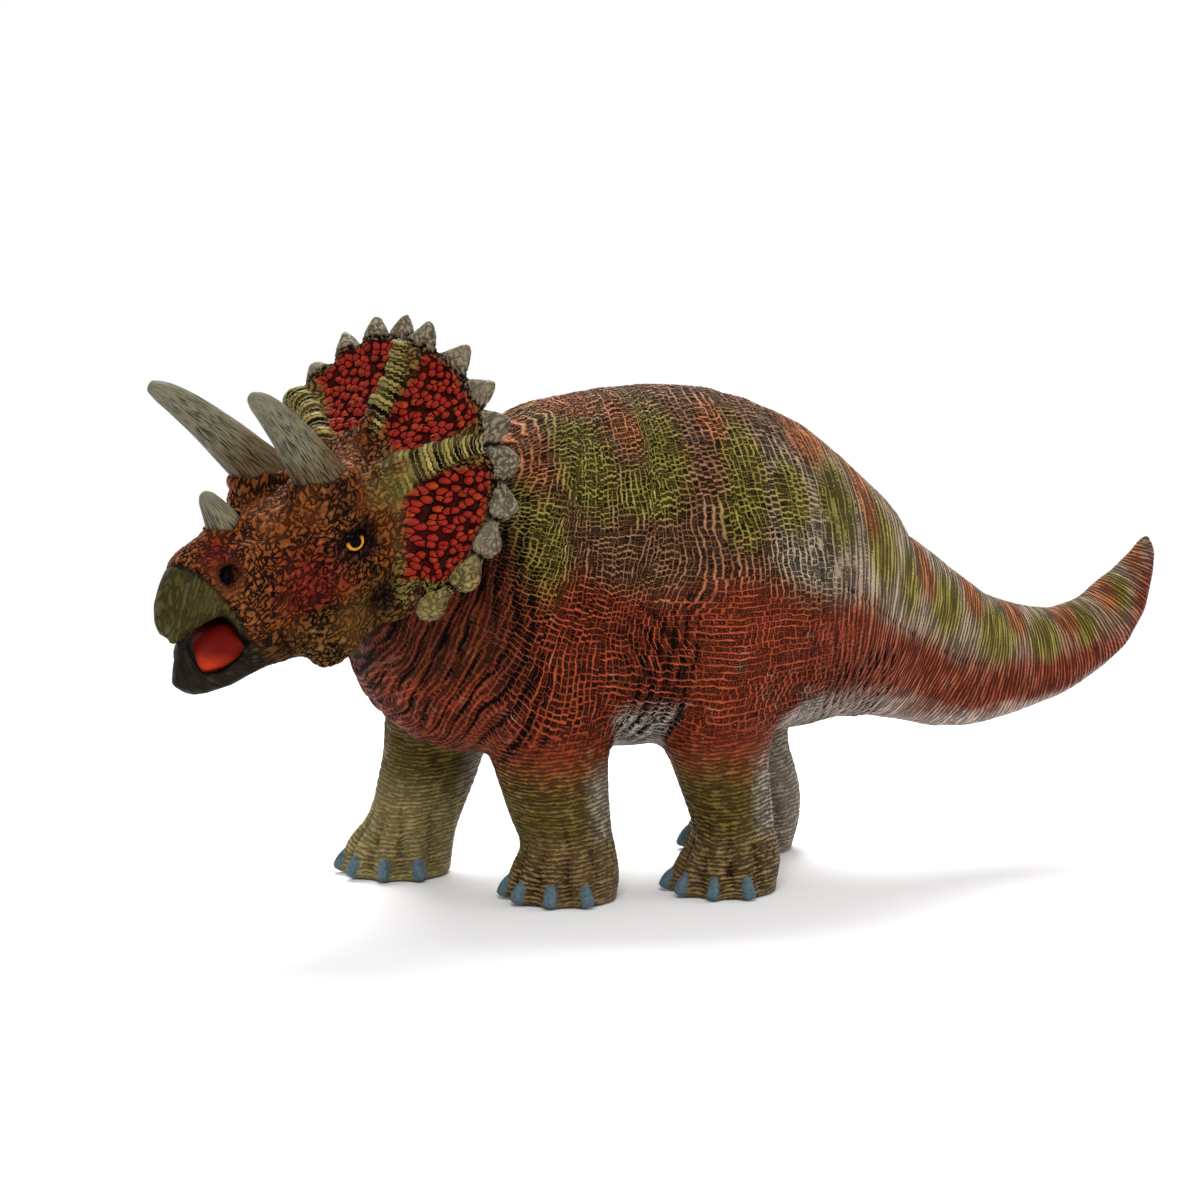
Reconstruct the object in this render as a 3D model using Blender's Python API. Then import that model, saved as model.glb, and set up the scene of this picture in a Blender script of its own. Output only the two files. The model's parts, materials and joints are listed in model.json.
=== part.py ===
"""A walking three-horned toy dinosaur, cast as mouldings that are glued at peg-and-socket seats.

The figure walks towards -X and its left side faces -Y.  The body is sketched as lofted forms
in a frame whose ground plane is z = 0 under the middle of the trunk.  The head is sketched in a
frame of its own: X runs forward to the beak, Y to the animal's left and Z up, with the origin at
the middle of the frill's root.  Overlapping forms are fused into one smooth skin, and the skin is
cut into the separate mouldings along parting faces with a narrow glue gap.  At the end the whole
figure is shifted so that the middle of its footprint lies at the world origin.
"""

import math

import bpy
import bmesh
from mathutils import Matrix, Vector

# Driving sizes of the body, in metres
BODY_LENGTH = 0.094
BODY_WIDTH = 0.053
BACK_HEIGHT = 0.0787
TAIL_LENGTH = 0.050
TAIL_ROOT_HEIGHT = 0.037
NECK_WIDTH = 0.031
LEG_WIDTH = 0.0160
CLAW_LENGTH = 0.0042
CLAW_WIDTH = 0.0036

# Driving sizes of the head
HEAD_LENGTH = 0.052
HEAD_DEPTH = 0.030
HEAD_WIDTH = 0.024
FRILL_WIDTH = 0.0565
FRILL_HEIGHT = 0.0355
FRILL_SWEEP = 0.026
FRILL_THICKNESS = 0.0028
FRILL_TAPER_SHARE = 0.25
RIDGE_WIDTH = 0.0042
RIM_SCALE_LENGTH = 0.0046
RIM_SCALE_WIDTH = 0.0066
RIM_SCALE_THICKNESS = 0.0044
BROW_HORN_LENGTH = 0.0262
BROW_HORN_WIDTH = 0.0086
NOSE_HORN_LENGTH = 0.0080
NOSE_HORN_WIDTH = 0.0068
EYE_DIAMETER = 0.0044
NOSTRIL_DIAMETER = 0.0028
NOSTRIL_STRETCH_SHARE = 1.2
TONGUE_LENGTH = 0.0130
TONGUE_WIDTH = 0.0076

SHARP_ANGLE = 38.0

# Pose of the head, in degrees: turned to its left, nose down, left side a little high
HEAD_TURN = 20.0
HEAD_NOD = 26.3
HEAD_TILT = 1.5

# Seats, gaps and the fineness of the skin
GLUE_GAP = 0.0003
SKIN_ALLOWANCE = 0.0005
LEG_PEG_WIDTH = 0.0080
LEG_PEG_LENGTH = 0.0060
TAIL_BLOCK_DROP_SHARE = 0.60
TAIL_BLOCK_RISE_SHARE = 1.20
TAIL_PEG_WIDTH = 0.0100
TAIL_PEG_LENGTH = 0.0080
JAW_PEG_WIDTH = 0.0056
JAW_PEG_LENGTH = 0.0045
PEG_HOLD_SHARE = 0.5
BODY_VOXEL = 0.0012
HEAD_VOXEL = 0.00075
BODY_FACES = 2850
HEAD_FACES = 4050
BODY_SOFTENING = 5
HEAD_SOFTENING = 3
SOFTENING_SHARE = 0.5

# Trunk stations from rump to chest: place along X and midline Y, height of the back, the belly
# and the widest level, and half width
TRUNK_X_SHARES = (0.50, 0.394, 0.298, 0.191, 0.074, -0.053, -0.17, -0.277, -0.372, -0.44, -0.468)
TRUNK_Y_SHARES = (-0.151, -0.151, -0.147, -0.132, -0.113, -0.083, -0.057, -0.038, -0.03, -0.03, -0.03)
TRUNK_TOP_SHARES = (0.72, 0.838, 0.925, 0.983, 1.005, 1.0, 0.968, 0.89, 0.775, 0.65, 0.57)
TRUNK_BELLY_SHARES = (0.29, 0.30, 0.292, 0.285, 0.28, 0.278, 0.27, 0.275, 0.315, 0.39, 0.46)
TRUNK_LEVEL_SHARES = (0.50, 0.52, 0.52, 0.52, 0.50, 0.50, 0.51, 0.54, 0.56, 0.56, 0.54)
TRUNK_WIDTH_SHARES = (0.225, 0.33, 0.415, 0.465, 0.49, 0.49, 0.46, 0.40, 0.32, 0.21, 0.10)

# Tail stations: reach behind the rump, midline Y, height, and half height and half width
TAIL_X_SHARES = (-0.22, -0.036, 0.124, 0.264, 0.424, 0.594, 0.75, 0.844, 0.912, 0.944, 0.95)
TAIL_Y_SHARES = (-0.15, -0.151, -0.151, -0.15, -0.148, -0.143, -0.136, -0.13, -0.124, -0.12, -0.118)
TAIL_Z_SHARES = (0.534, 0.480, 0.432, 0.4015, 0.3926, 0.4028, 0.4396, 0.4956, 0.558, 0.6035, 0.639)
TAIL_RISE_SHARES = (0.42, 0.405, 0.355, 0.308, 0.249, 0.20, 0.16, 0.137, 0.09, 0.054, 0.016)
TAIL_WIDTH_SHARES = (0.33, 0.315, 0.28, 0.25, 0.212, 0.175, 0.148, 0.128, 0.085, 0.05, 0.015)

# Muscle masses of shoulder and thigh: middle, and half lengths along X, Y and Z
MUSCLE_SHARES = {
    "shoulder_left": ((-0.20, -0.33, 0.50), (0.125, 0.175, 0.22)),
    "shoulder_right": ((-0.27, 0.23, 0.50), (0.125, 0.175, 0.22)),
    "thigh_left": ((0.14, -0.40, 0.55), (0.16, 0.19, 0.26)),
    "thigh_right": ((0.24, 0.10, 0.55), (0.16, 0.19, 0.26)),
}

# Legs from the muscle down to the sole: X and Y in the trunk's length and width, height in the
# back's height, and half width in the leg's width
LEG_SHARES = {
    "front_leg_left": (
        (-0.185, -0.30, 0.46, 0.72), (-0.180, -0.30, 0.29, 0.59), (-0.168, -0.305, 0.19, 0.51),
        (-0.150, -0.31, 0.11, 0.46), (-0.155, -0.325, 0.055, 0.53), (-0.163, -0.33, -0.03, 0.53)),
    "front_leg_right": (
        (-0.250, 0.20, 0.46, 0.70), (-0.262, 0.215, 0.29, 0.55), (-0.285, 0.22, 0.18, 0.49),
        (-0.310, 0.222, 0.10, 0.47), (-0.330, 0.223, 0.05, 0.53), (-0.336, 0.223, -0.03, 0.52)),
    "hind_leg_left": (
        (0.125, -0.38, 0.50, 0.84), (0.100, -0.40, 0.33, 0.57), (0.112, -0.415, 0.215, 0.455),
        (0.127, -0.42, 0.13, 0.41), (0.122, -0.42, 0.055, 0.50), (0.112, -0.42, -0.03, 0.50)),
    "hind_leg_right": (
        (0.235, 0.10, 0.50, 0.84), (0.270, 0.115, 0.33, 0.56), (0.288, 0.12, 0.225, 0.48),
        (0.315, 0.122, 0.13, 0.46), (0.298, 0.122, 0.06, 0.53), (0.284, 0.122, -0.03, 0.52)),
}
# Directions of the toes round each foot, in degrees from +X, and how far a toe stands out
TOE_DIRECTIONS = (158.0, 196.0, 233.0, 270.0)
TOE_REACH_SHARE = 0.29
TOE_WIDTH_SHARE = 0.22
TOE_LIFT_SHARE = 0.6
TOE_SHAPE_SHARES = (1.15, 0.9, 1.25)
# Claw stations: reach in the claw's length, then width and height of the middle in its width
CLAW_SHARES = ((0.0, 0.70, 0.62), (0.3, 0.98, 0.58), (0.55, 0.92, 0.49), (0.8, 0.66, 0.35), (1.0, 0.20, 0.20))
CLAW_SEAT_SHARE = 0.6

# Parting sleeves round the legs: height in the back's height, half width in the leg's width
SLEEVE_SHARES = ((-0.10, 0.755), (0.12, 0.745), (0.26, 0.70), (0.32, 0.58), (0.345, 0.36), (0.355, 0.08))
SLEEVE_LEAD_SHARE = 0.09

# Neck stations: X and Y in the trunk's length and width, height in the back's height, then half
# width and half depth in the neck's width
NECK_SHARES = (
    (-0.19, -0.05, 0.61, 0.565, 0.645), (-0.277, -0.057, 0.655, 0.54, 0.60),
    (-0.346, -0.072, 0.697, 0.47, 0.53), (-0.394, -0.088, 0.732, 0.38, 0.44),
    (-0.429, -0.10, 0.757, 0.29, 0.33), (-0.447, -0.107, 0.77, 0.16, 0.18))

# Skull stations from the back to the face: forward, top, bottom and widest level, half width
SKULL_SHARES = (
    (-0.058, 0.05, -0.40, -0.20, 0.36), (0.077, 0.127, -0.55, -0.25, 0.45),
    (0.212, 0.16, -0.66, -0.29, 0.49), (0.346, 0.19, -0.67, -0.28, 0.47),
    (0.462, 0.205, -0.60, -0.25, 0.43), (0.577, 0.23, -0.51, -0.20, 0.37),
    (0.69, 0.265, -0.45, -0.14, 0.325), (0.77, 0.27, -0.40, -0.10, 0.29),
    (0.81, 0.24, -0.33, -0.08, 0.25))
BEAK_SHARES = (
    (0.69, 0.24, -0.15, 0.05, 0.22), (0.76, 0.27, -0.15, 0.05, 0.26),
    (0.82, 0.255, -0.13, 0.05, 0.24), (0.88, 0.205, -0.115, 0.04, 0.195),
    (0.94, 0.14, -0.095, 0.02, 0.135), (0.98, 0.065, -0.065, 0.0, 0.07),
    (0.995, 0.01, -0.05, -0.02, 0.03))
JAW_SHARES = (
    (0.22, -0.38, -0.66, -0.52, 0.38), (0.32, -0.37, -0.70, -0.55, 0.40),
    (0.42, -0.35, -0.71, -0.53, 0.39), (0.52, -0.34, -0.66, -0.50, 0.37),
    (0.67, -0.33, -0.545, -0.44, 0.32), (0.80, -0.32, -0.485, -0.40, 0.265),
    (0.90, -0.31, -0.46, -0.39, 0.20), (0.965, -0.29, -0.425, -0.355, 0.125),
    (0.995, -0.29, -0.38, -0.34, 0.05))
JAW_POINT_SHARES = ((0.965, -0.34, 0.12), (0.962, -0.22, 0.085), (0.955, -0.11, 0.05))
MOUTH_SHARES = ((0.80, -0.225), (0.14, 0.19, 0.145))
JAW_PARTING_SHARES = (
    (1.10, -0.117), (0.90, -0.117), (0.81, -0.28), (0.38, -0.40), (0.34, -1.10), (1.10, -1.10))
JAW_BLOCK_WIDTH_SHARE = 0.43

# Rim of the frill, from the crest at the middle to the lobe beside the jaw: place of the point of
# each rim scale as forward, left and up, and how pointed it is
RIM_SHARES = (
    (-0.508, 0.0, 0.452, 1.0), (-0.48, 0.109, 0.445, 1.0), (-0.446, 0.252, 0.36, 1.0),
    (-0.327, 0.369, 0.245, 0.95), (-0.19, 0.455, 0.13, 0.85), (-0.09, 0.492, -0.02, 0.6),
    (0.062, 0.50, -0.18, 0.5), (0.27, 0.49, -0.285, 0.45), (0.48, 0.463, -0.373, 0.45),
    (0.67, 0.37, -0.458, 0.5))
# How far inside those points the sheet of the frill ends, for round and for pointed scales, where on
# the sheet a scale starts, how far its tip is drawn past its point and how full round scales are
FRILL_INSET_SHARES = (0.35, 0.60)
RIM_SEAT_SHARE = 0.93
RIM_TIP_SHARE = 0.25
RIM_FULLNESS_SHARE = 0.25
RIM_STATION_SHARES = (0.0, 0.3, 0.55, 0.78, 0.93, 1.0)
RIM_CLOSING_SHARE = 0.93
RIM_ROUND_POWER = 3.0
RIM_POINTED_POWER = 1.1
# Root of the frill on the skull, beside each rim scale: forward, left and up
ROOT_SHARES = (
    (0.10, 0.0, 0.06), (0.12, 0.03, 0.065), (0.16, 0.06, 0.06), (0.22, 0.09, 0.05),
    (0.28, 0.12, 0.02), (0.34, 0.145, -0.04), (0.40, 0.16, -0.12), (0.46, 0.17, -0.22),
    (0.50, 0.17, -0.32), (0.54, 0.15, -0.42))
# Ridges of the frill: rim scales from the crest, how far they reach out and their widths there
RIDGE_OFFSETS = (0.7, 4.5, -3.7)
RIDGE_REACH_SHARE = 0.98
RIDGE_LIFT_SHARE = 0.6
RIDGE_WIDTH_SHARES = (1.1, 0.8)
FRILL_DISH_SHARE = 0.10
# Bosses of the head: forward, left and up, then half lengths
BOSS_SHARES = {
    "brow": ((0.365, 0.30, 0.10), (0.135, 0.25, 0.17)),
    "eye_rim": ((0.365, 0.33, -0.05), (0.11, 0.11, 0.12)),
    "cheek": ((0.38, 0.36, -0.30), (0.16, 0.14, 0.17)),
    "jowl": ((0.26, 0.34, -0.50), (0.14, 0.13, 0.20)),
    "chin": ((0.52, 0.27, -0.585), (0.11, 0.12, 0.11)),
    "snout": ((0.70, 0.20, 0.08), (0.09, 0.11, 0.12)),
}
NOSE_BOSS_SHARES = ((0.64, 0.0, 0.20), (0.10, 0.16, 0.10))
EYE_SHARES = (0.363, 0.385, -0.115)
NOSTRIL_SHARES = (0.765, 0.27, 0.10)

# Horn curves: root, bend and tip in horn lengths from the place where the horn leaves the skull
BROW_HORN_PLACE_SHARES = (0.36, 0.315, 0.20)
BROW_HORN_CURVE_SHARES = ((-0.09, -0.07, -0.19), (0.14, 0.10, 0.575), (0.34, 0.176, 0.83))
NOSE_HORN_PLACE_SHARES = (0.645, 0.0, 0.24)
NOSE_HORN_CURVE_SHARES = ((-0.08, 0.0, -0.45), (-0.02, 0.0, 0.35), (0.12, 0.0, 0.80))
HORN_TAPER_SHARES = (0.68, 0.94, 0.86, 0.77, 0.67, 0.58, 0.49, 0.39, 0.20)
TONGUE_SHARES = (0.815, 0.0, -0.275)
TONGUE_PITCH = 12.0
TONGUE_HEIGHT_SHARE = 0.44
# Foot of the jaw's peg, and the height at which it leaves the jaw
JAW_PEG_SHARES = (0.44, 0.0, -0.52)
JAW_SEAT_SHARE = -0.39

# Where the head's frame stands, in the trunk's length, width and the back's height
HEAD_PLACE_SHARES = (-0.427, -0.094, 0.903)

FINE_SIDES = 32
SEAT_SIDES = 16
PEG_SIDES = 14
RIM_SCALE_SIDES = 12
CLAW_SIDES = 8
STEPS = 4
SEAT_STEPS = 2
FRILL_STEPS = 10
FRILL_COLUMNS = 4
RIDGE_STEPS = 8
CURVE_STEPS = 20
PROBE_SHARE = 0.05
SLANT = Vector((0.3, 1, 0.2))

# Paints: base colour and roughness
PAINTS = {
    "painted_pvc_body": ((0.20, 0.07, 0.035), 0.55),
    "painted_pvc_leg": ((0.17, 0.12, 0.06), 0.55),
    "painted_pvc_head": ((0.22, 0.09, 0.04), 0.55),
    "painted_pvc_jaw": ((0.14, 0.10, 0.05), 0.50),
    "painted_pvc_horn": ((0.24, 0.22, 0.17), 0.50),
    "painted_pvc_tongue": ((0.62, 0.08, 0.04), 0.35),
    "painted_gloss_eye": ((0.02, 0.02, 0.02), 0.08),
}


def clear_scene():
    """Remove whatever the file holds."""
    for thing in list(bpy.data.objects):
        bpy.data.objects.remove(thing, do_unlink=True)


def painted_pvc(name, colour, roughness):
    """Soft PVC painted in one colour."""
    material = bpy.data.materials.new(name)
    material.use_nodes = True
    shader = material.node_tree.nodes["Principled BSDF"]
    shader.inputs["Base Color"].default_value = (*colour, 1.0)
    shader.inputs["Roughness"].default_value = roughness
    shader.inputs["Metallic"].default_value = 0.0
    material.diffuse_color = (*colour, 1.0)
    return material


def mesh_object(name, points, faces):
    """An object from points and faces, with its faces turned outwards."""
    form = bmesh.new()
    corners = [form.verts.new(point) for point in points]
    for face in faces:
        form.faces.new([corners[index] for index in face])
    bmesh.ops.recalc_face_normals(form, faces=form.faces)
    mesh = bpy.data.meshes.new(name)
    form.to_mesh(mesh)
    form.free()
    thing = bpy.data.objects.new(name, mesh)
    bpy.context.collection.objects.link(thing)
    return thing


def loft(name, rings):
    """A closed solid through rings of equal count, with flat ends."""
    sides = len(rings[0])
    points = [point for ring in rings for point in ring]
    faces = []
    for row in range(len(rings) - 1):
        for side in range(sides):
            after = (side + 1) % sides
            low = row * sides
            high = low + sides
            faces.append((low + side, low + after, high + after, high + side))
    faces.append(tuple(range(sides)))
    faces.append(tuple(range(len(points) - sides, len(points))))
    return mesh_object(name, points, faces)


def oval(centre, across, upward, half_width, rise, drop, sides=FINE_SIDES):
    """A ring round a centre, with unlike heights above and below its widest level."""
    ring = []
    for side in range(sides):
        angle = math.tau * side / sides
        height = rise if math.sin(angle) > 0 else drop
        ring.append(centre + across * (half_width * math.cos(angle)) + upward * (height * math.sin(angle)))
    return ring


def smooth_rows(rows, steps=STEPS):
    """Rows of numbers with more rows between them, on a curve through them all."""
    result = []
    last = len(rows) - 1
    for index in range(last):
        before = rows[max(index - 1, 0)]
        start = rows[index]
        end = rows[index + 1]
        after = rows[min(index + 2, last)]
        for step in range(steps):
            t = step / steps
            weights = (
                (-t + 2 * t ** 2 - t ** 3) / 2,
                (2 - 5 * t ** 2 + 3 * t ** 3) / 2,
                (t + 4 * t ** 2 - 3 * t ** 3) / 2,
                (t ** 3 - t ** 2) / 2,
            )
            parts = zip(before, start, end, after)
            result.append(tuple(sum(w * v for w, v in zip(weights, values)) for values in parts))
    result.append(tuple(rows[last]))
    return result


def path_rings(centres, half_widths, rises, sides=FINE_SIDES):
    """Rings square to a path, each with its own half width and half height."""
    rings = []
    for index, centre in enumerate(centres):
        ahead = centres[min(index + 1, len(centres) - 1)]
        behind = centres[max(index - 1, 0)]
        along = (ahead - behind).normalized()
        across = along.cross(Vector((0, 0, 1))).normalized()
        upward = across.cross(along).normalized()
        rings.append(oval(centre, across, upward, half_widths[index], rises[index], rises[index], sides))
    return rings


def ellipsoid(name, centre, half_lengths, turn=None):
    """A round mass with its own half length along each axis."""
    form = bmesh.new()
    bmesh.ops.create_uvsphere(form, u_segments=SEAT_SIDES, v_segments=SEAT_SIDES // 2, radius=1.0)
    shape = Matrix.Diagonal((*half_lengths, 1.0))
    place = Matrix.Translation(centre) @ (turn or Matrix.Identity(4)) @ shape
    bmesh.ops.transform(form, matrix=place, verts=form.verts)
    mesh = bpy.data.meshes.new(name)
    form.to_mesh(mesh)
    form.free()
    thing = bpy.data.objects.new(name, mesh)
    bpy.context.collection.objects.link(thing)
    return thing


def peg(name, start, along, width, length):
    """A round peg from a start point along a direction."""
    across = along.cross(SLANT).normalized()
    upward = across.cross(along).normalized()
    half = width / 2
    rings = [oval(start + along * reach, across, upward, half, half, half, PEG_SIDES) for reach in (0, length)]
    return loft(name, rings)


def evaluated_mesh(thing):
    """The mesh of an object as its modifiers leave it."""
    graph = bpy.context.evaluated_depsgraph_get()
    return bpy.data.meshes.new_from_object(thing.evaluated_get(graph))


def fuse(name, forms, voxel, softness, faces):
    """One smooth skin round overlapping forms, thinned to about the wanted number of faces."""
    form = bmesh.new()
    for source in forms:
        form.from_mesh(source.data)
        bpy.data.objects.remove(source, do_unlink=True)
    mesh = bpy.data.meshes.new(name)
    form.to_mesh(mesh)
    form.free()
    skin = bpy.data.objects.new(name, mesh)
    bpy.context.collection.objects.link(skin)
    remesh = skin.modifiers.new("fused", "REMESH")
    remesh.mode = "VOXEL"
    remesh.voxel_size = voxel
    smooth = skin.modifiers.new("softened", "SMOOTH")
    smooth.factor = SOFTENING_SHARE
    smooth.iterations = softness
    dense = evaluated_mesh(skin)
    thin = skin.modifiers.new("thinned", "DECIMATE")
    thin.ratio = min(1.0, faces / (2 * len(dense.polygons)))
    result = evaluated_mesh(skin)
    bpy.data.objects.remove(skin, do_unlink=True)
    return result


def place_under(thing, parent):
    thing.parent = parent
    return thing


def as_cutter(thing, parent):
    """Mark a form as a tool that only shapes others."""
    thing.hide_render = True
    thing.display_type = "WIRE"
    return place_under(thing, parent)


def boolean(thing, tool, operation):
    cut = thing.modifiers.new(tool.name, "BOOLEAN")
    cut.object = tool
    cut.operation = operation


def piece(name, mesh, material, parent):
    """A named moulding that starts as a copy of a skin."""
    own = mesh.copy()
    own.name = name
    own.materials.clear()
    own.materials.append(material)
    thing = bpy.data.objects.new(name, own)
    bpy.context.collection.objects.link(thing)
    return place_under(thing, parent)


def body_point(x_share, y_share, z_share):
    """A point of the body from shares of its length, width and height."""
    return Vector((x_share * BODY_LENGTH, y_share * BODY_WIDTH, z_share * BACK_HEIGHT))


def head_point(forward_share, left_share, up_share):
    """A point of the head from shares of its length, width and depth."""
    return Vector((forward_share * HEAD_LENGTH, left_share * HEAD_WIDTH, up_share * HEAD_DEPTH))


def frill_point(forward_share, left_share, up_share):
    """A point of the frill from shares of its sweep, width and height."""
    return Vector((forward_share * FRILL_SWEEP, left_share * FRILL_WIDTH, up_share * FRILL_HEIGHT))


def trunk_form():
    """The barrel of the body, from rump to chest, widest below the middle."""
    rows = smooth_rows(list(zip(
        TRUNK_X_SHARES, TRUNK_Y_SHARES, TRUNK_TOP_SHARES,
        TRUNK_BELLY_SHARES, TRUNK_LEVEL_SHARES, TRUNK_WIDTH_SHARES)))
    rings = []
    for x, y, top, belly, level, width in rows:
        rise = (top - level) * BACK_HEIGHT
        drop = (level - belly) * BACK_HEIGHT
        centre = body_point(x, y, level)
        rings.append(oval(centre, Vector((0, 1, 0)), Vector((0, 0, 1)), width * BODY_WIDTH, rise, drop))
    return loft("trunk", rings)


def neck_form(spare):
    """The thick neck, whose rounded end sits in the back of the head."""
    rows = smooth_rows(NECK_SHARES, SEAT_STEPS)
    centres = [body_point(*row[:3]) for row in rows]
    widths = [row[3] * NECK_WIDTH + spare for row in rows]
    rises = [row[4] * NECK_WIDTH + spare for row in rows]
    centres[-1] = centres[-1] + (centres[-1] - centres[-2]).normalized() * spare
    return loft("neck", path_rings(centres, widths, rises, SEAT_SIDES))


def tail_root():
    """Where the tail's table starts: the rump end of the trunk."""
    return TRUNK_X_SHARES[0] * BODY_LENGTH


def tail_form():
    rows = smooth_rows(list(zip(
        TAIL_X_SHARES, TAIL_Y_SHARES, TAIL_Z_SHARES, TAIL_RISE_SHARES, TAIL_WIDTH_SHARES)))
    centres = []
    for x, y, z, rise, width in rows:
        centres.append(Vector((tail_root() + x * TAIL_LENGTH, y * BODY_WIDTH, z * BACK_HEIGHT)))
    widths = [row[4] * TAIL_ROOT_HEIGHT for row in rows]
    rises = [row[3] * TAIL_ROOT_HEIGHT for row in rows]
    return loft("tail_form", path_rings(centres, widths, rises))


def muscle_form(name):
    middle, halves = MUSCLE_SHARES[name]
    half_lengths = (halves[0] * BODY_LENGTH, halves[1] * BODY_WIDTH, halves[2] * BACK_HEIGHT)
    return ellipsoid(name, body_point(*middle), half_lengths)


def leg_rows(name):
    """Middle and half width of a leg, from the muscle down to below the ground."""
    rows = smooth_rows(LEG_SHARES[name])
    return [(body_point(*row[:3]), row[3] * LEG_WIDTH) for row in rows]


def leg_form(name):
    """A leg as a column of level rings."""
    rings = []
    for middle, half in leg_rows(name):
        rings.append(oval(middle, Vector((1, 0, 0)), Vector((0, 1, 0)), half, half, half))
    return loft(name, rings)


def foot_middle(name):
    return body_point(*LEG_SHARES[name][-1][:2], 0)


def toe_direction(angle):
    return Vector((math.cos(math.radians(angle)), math.sin(math.radians(angle)), 0))


def toe_forms(name):
    """The toes: round pads that stand out of the front of the foot."""
    forms = []
    for angle in TOE_DIRECTIONS:
        along = toe_direction(angle)
        half = TOE_WIDTH_SHARE * LEG_WIDTH
        lift = Vector((0, 0, half * TOE_LIFT_SHARE))
        middle = foot_middle(name) + along * (TOE_REACH_SHARE * LEG_WIDTH) + lift
        turn = Matrix.Rotation(math.radians(angle), 4, "Z")
        forms.append(ellipsoid("toe", middle, [half * share for share in TOE_SHAPE_SHARES], turn))
    return forms


def claw_form(name, angle):
    """A blunt claw that leaves a toe low down and reaches the ground."""
    along = toe_direction(angle)
    across = Vector((-along.y, along.x, 0))
    upward = Vector((0, 0, 1))
    toe_end = LEG_WIDTH * (TOE_REACH_SHARE + TOE_WIDTH_SHARE)
    start = foot_middle(name) + along * (toe_end - CLAW_LENGTH * CLAW_SEAT_SHARE)
    rings = []
    for reach, width, level in CLAW_SHARES:
        half = width * CLAW_WIDTH / 2
        height = level * CLAW_WIDTH
        centre = start + along * (reach * CLAW_LENGTH) + upward * height
        rings.append(oval(centre, across, upward, half, half, half + height, CLAW_SIDES))
    return loft("claw", rings)


def leg_sleeve(name, spare):
    """The parting sleeve round a leg, closed by a dome under the muscle."""
    rows = leg_rows(name)
    lead = toe_direction(sum(TOE_DIRECTIONS) / len(TOE_DIRECTIONS)) * (SLEEVE_LEAD_SHARE * LEG_WIDTH)
    rings = []
    for height_share, half_share in smooth_rows(SLEEVE_SHARES, SEAT_STEPS):
        height = height_share * BACK_HEIGHT
        middle = min(rows, key=lambda row: abs(row[0].z - height))[0]
        lift = spare if height > 0 else 0
        centre = Vector((middle.x, middle.y, height + lift)) + lead
        half = half_share * LEG_WIDTH + spare
        rings.append(oval(centre, Vector((1, 0, 0)), Vector((0, 1, 0)), half, half, half, SEAT_SIDES))
    return loft(name + "_sleeve", rings)


def sleeve_top(name):
    """Where the leg's peg starts, inside the leg."""
    height = SLEEVE_SHARES[-1][0] * BACK_HEIGHT - LEG_PEG_LENGTH * PEG_HOLD_SHARE
    return min(leg_rows(name), key=lambda row: abs(row[0].z - height))[0]


def rump_frame():
    """A point on the parting face of the tail and the direction out of the body.

    The face stands upright across the trunk, so it keeps clear of the hind legs at any height."""
    middle = Vector((tail_root(), TAIL_Y_SHARES[1] * BODY_WIDTH, TAIL_Z_SHARES[1] * BACK_HEIGHT))
    return middle, Vector((1, 0, 0))


def tail_block(gap):
    """All the space behind the tail's parting face."""
    middle, along = rump_frame()
    across = along.cross(Vector((0, 0, 1))).normalized()
    upward = across.cross(along).normalized()
    wide = TAIL_ROOT_HEIGHT * TAIL_BLOCK_DROP_SHARE
    low = upward * -wide
    high = upward * (TAIL_ROOT_HEIGHT * TAIL_BLOCK_RISE_SHARE)
    lifts = ((-1, low), (1, low), (1, high), (-1, high))
    corners = [middle + across * side * wide + lift for side, lift in lifts]
    near = [corner - along * gap for corner in corners]
    far = [corner + along * (TAIL_LENGTH * 2) for corner in corners]
    return loft("tail_block", [near, far])


def ground_block():
    """The space under the soles."""
    half = BODY_LENGTH + TAIL_LENGTH
    depth = BACK_HEIGHT / 2
    corners = [Vector((a * half, b * half, 0)) for a, b in ((-1, -1), (1, -1), (1, 1), (-1, 1))]
    return loft("ground", [[corner - Vector((0, 0, depth)) for corner in corners], corners])


def head_loft(name, table):
    rings = []
    for forward, top, bottom, level, width in smooth_rows(table):
        centre = head_point(forward, 0, level)
        rise = (top - level) * HEAD_DEPTH
        drop = (level - bottom) * HEAD_DEPTH
        rings.append(oval(centre, Vector((0, 1, 0)), Vector((0, 0, 1)), width * HEAD_WIDTH, rise, drop))
    return loft(name, rings)


def jaw_point_form():
    """The upturned point of the lower beak."""
    rings = []
    for forward, up, half in JAW_POINT_SHARES:
        centre = head_point(forward, 0, up)
        radius = half * HEAD_WIDTH
        rings.append(oval(centre, Vector((1, 0, 0)), Vector((0, 1, 0)), radius, radius, radius))
    return loft("jaw_point", rings)


def frill_rows():
    """Root and rim points from one lobe over the crest to the other."""
    half = [(root, rim) for root, rim in zip(ROOT_SHARES, RIM_SHARES)]
    mirrored = [((r[0], -r[1], r[2]), (m[0], -m[1], m[2], m[3])) for r, m in reversed(half[1:])]
    return mirrored + half


def between(pair, share):
    """A value from the first of a pair at 0 to the second at 1."""
    return pair[0] + (pair[1] - pair[0]) * share


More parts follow.
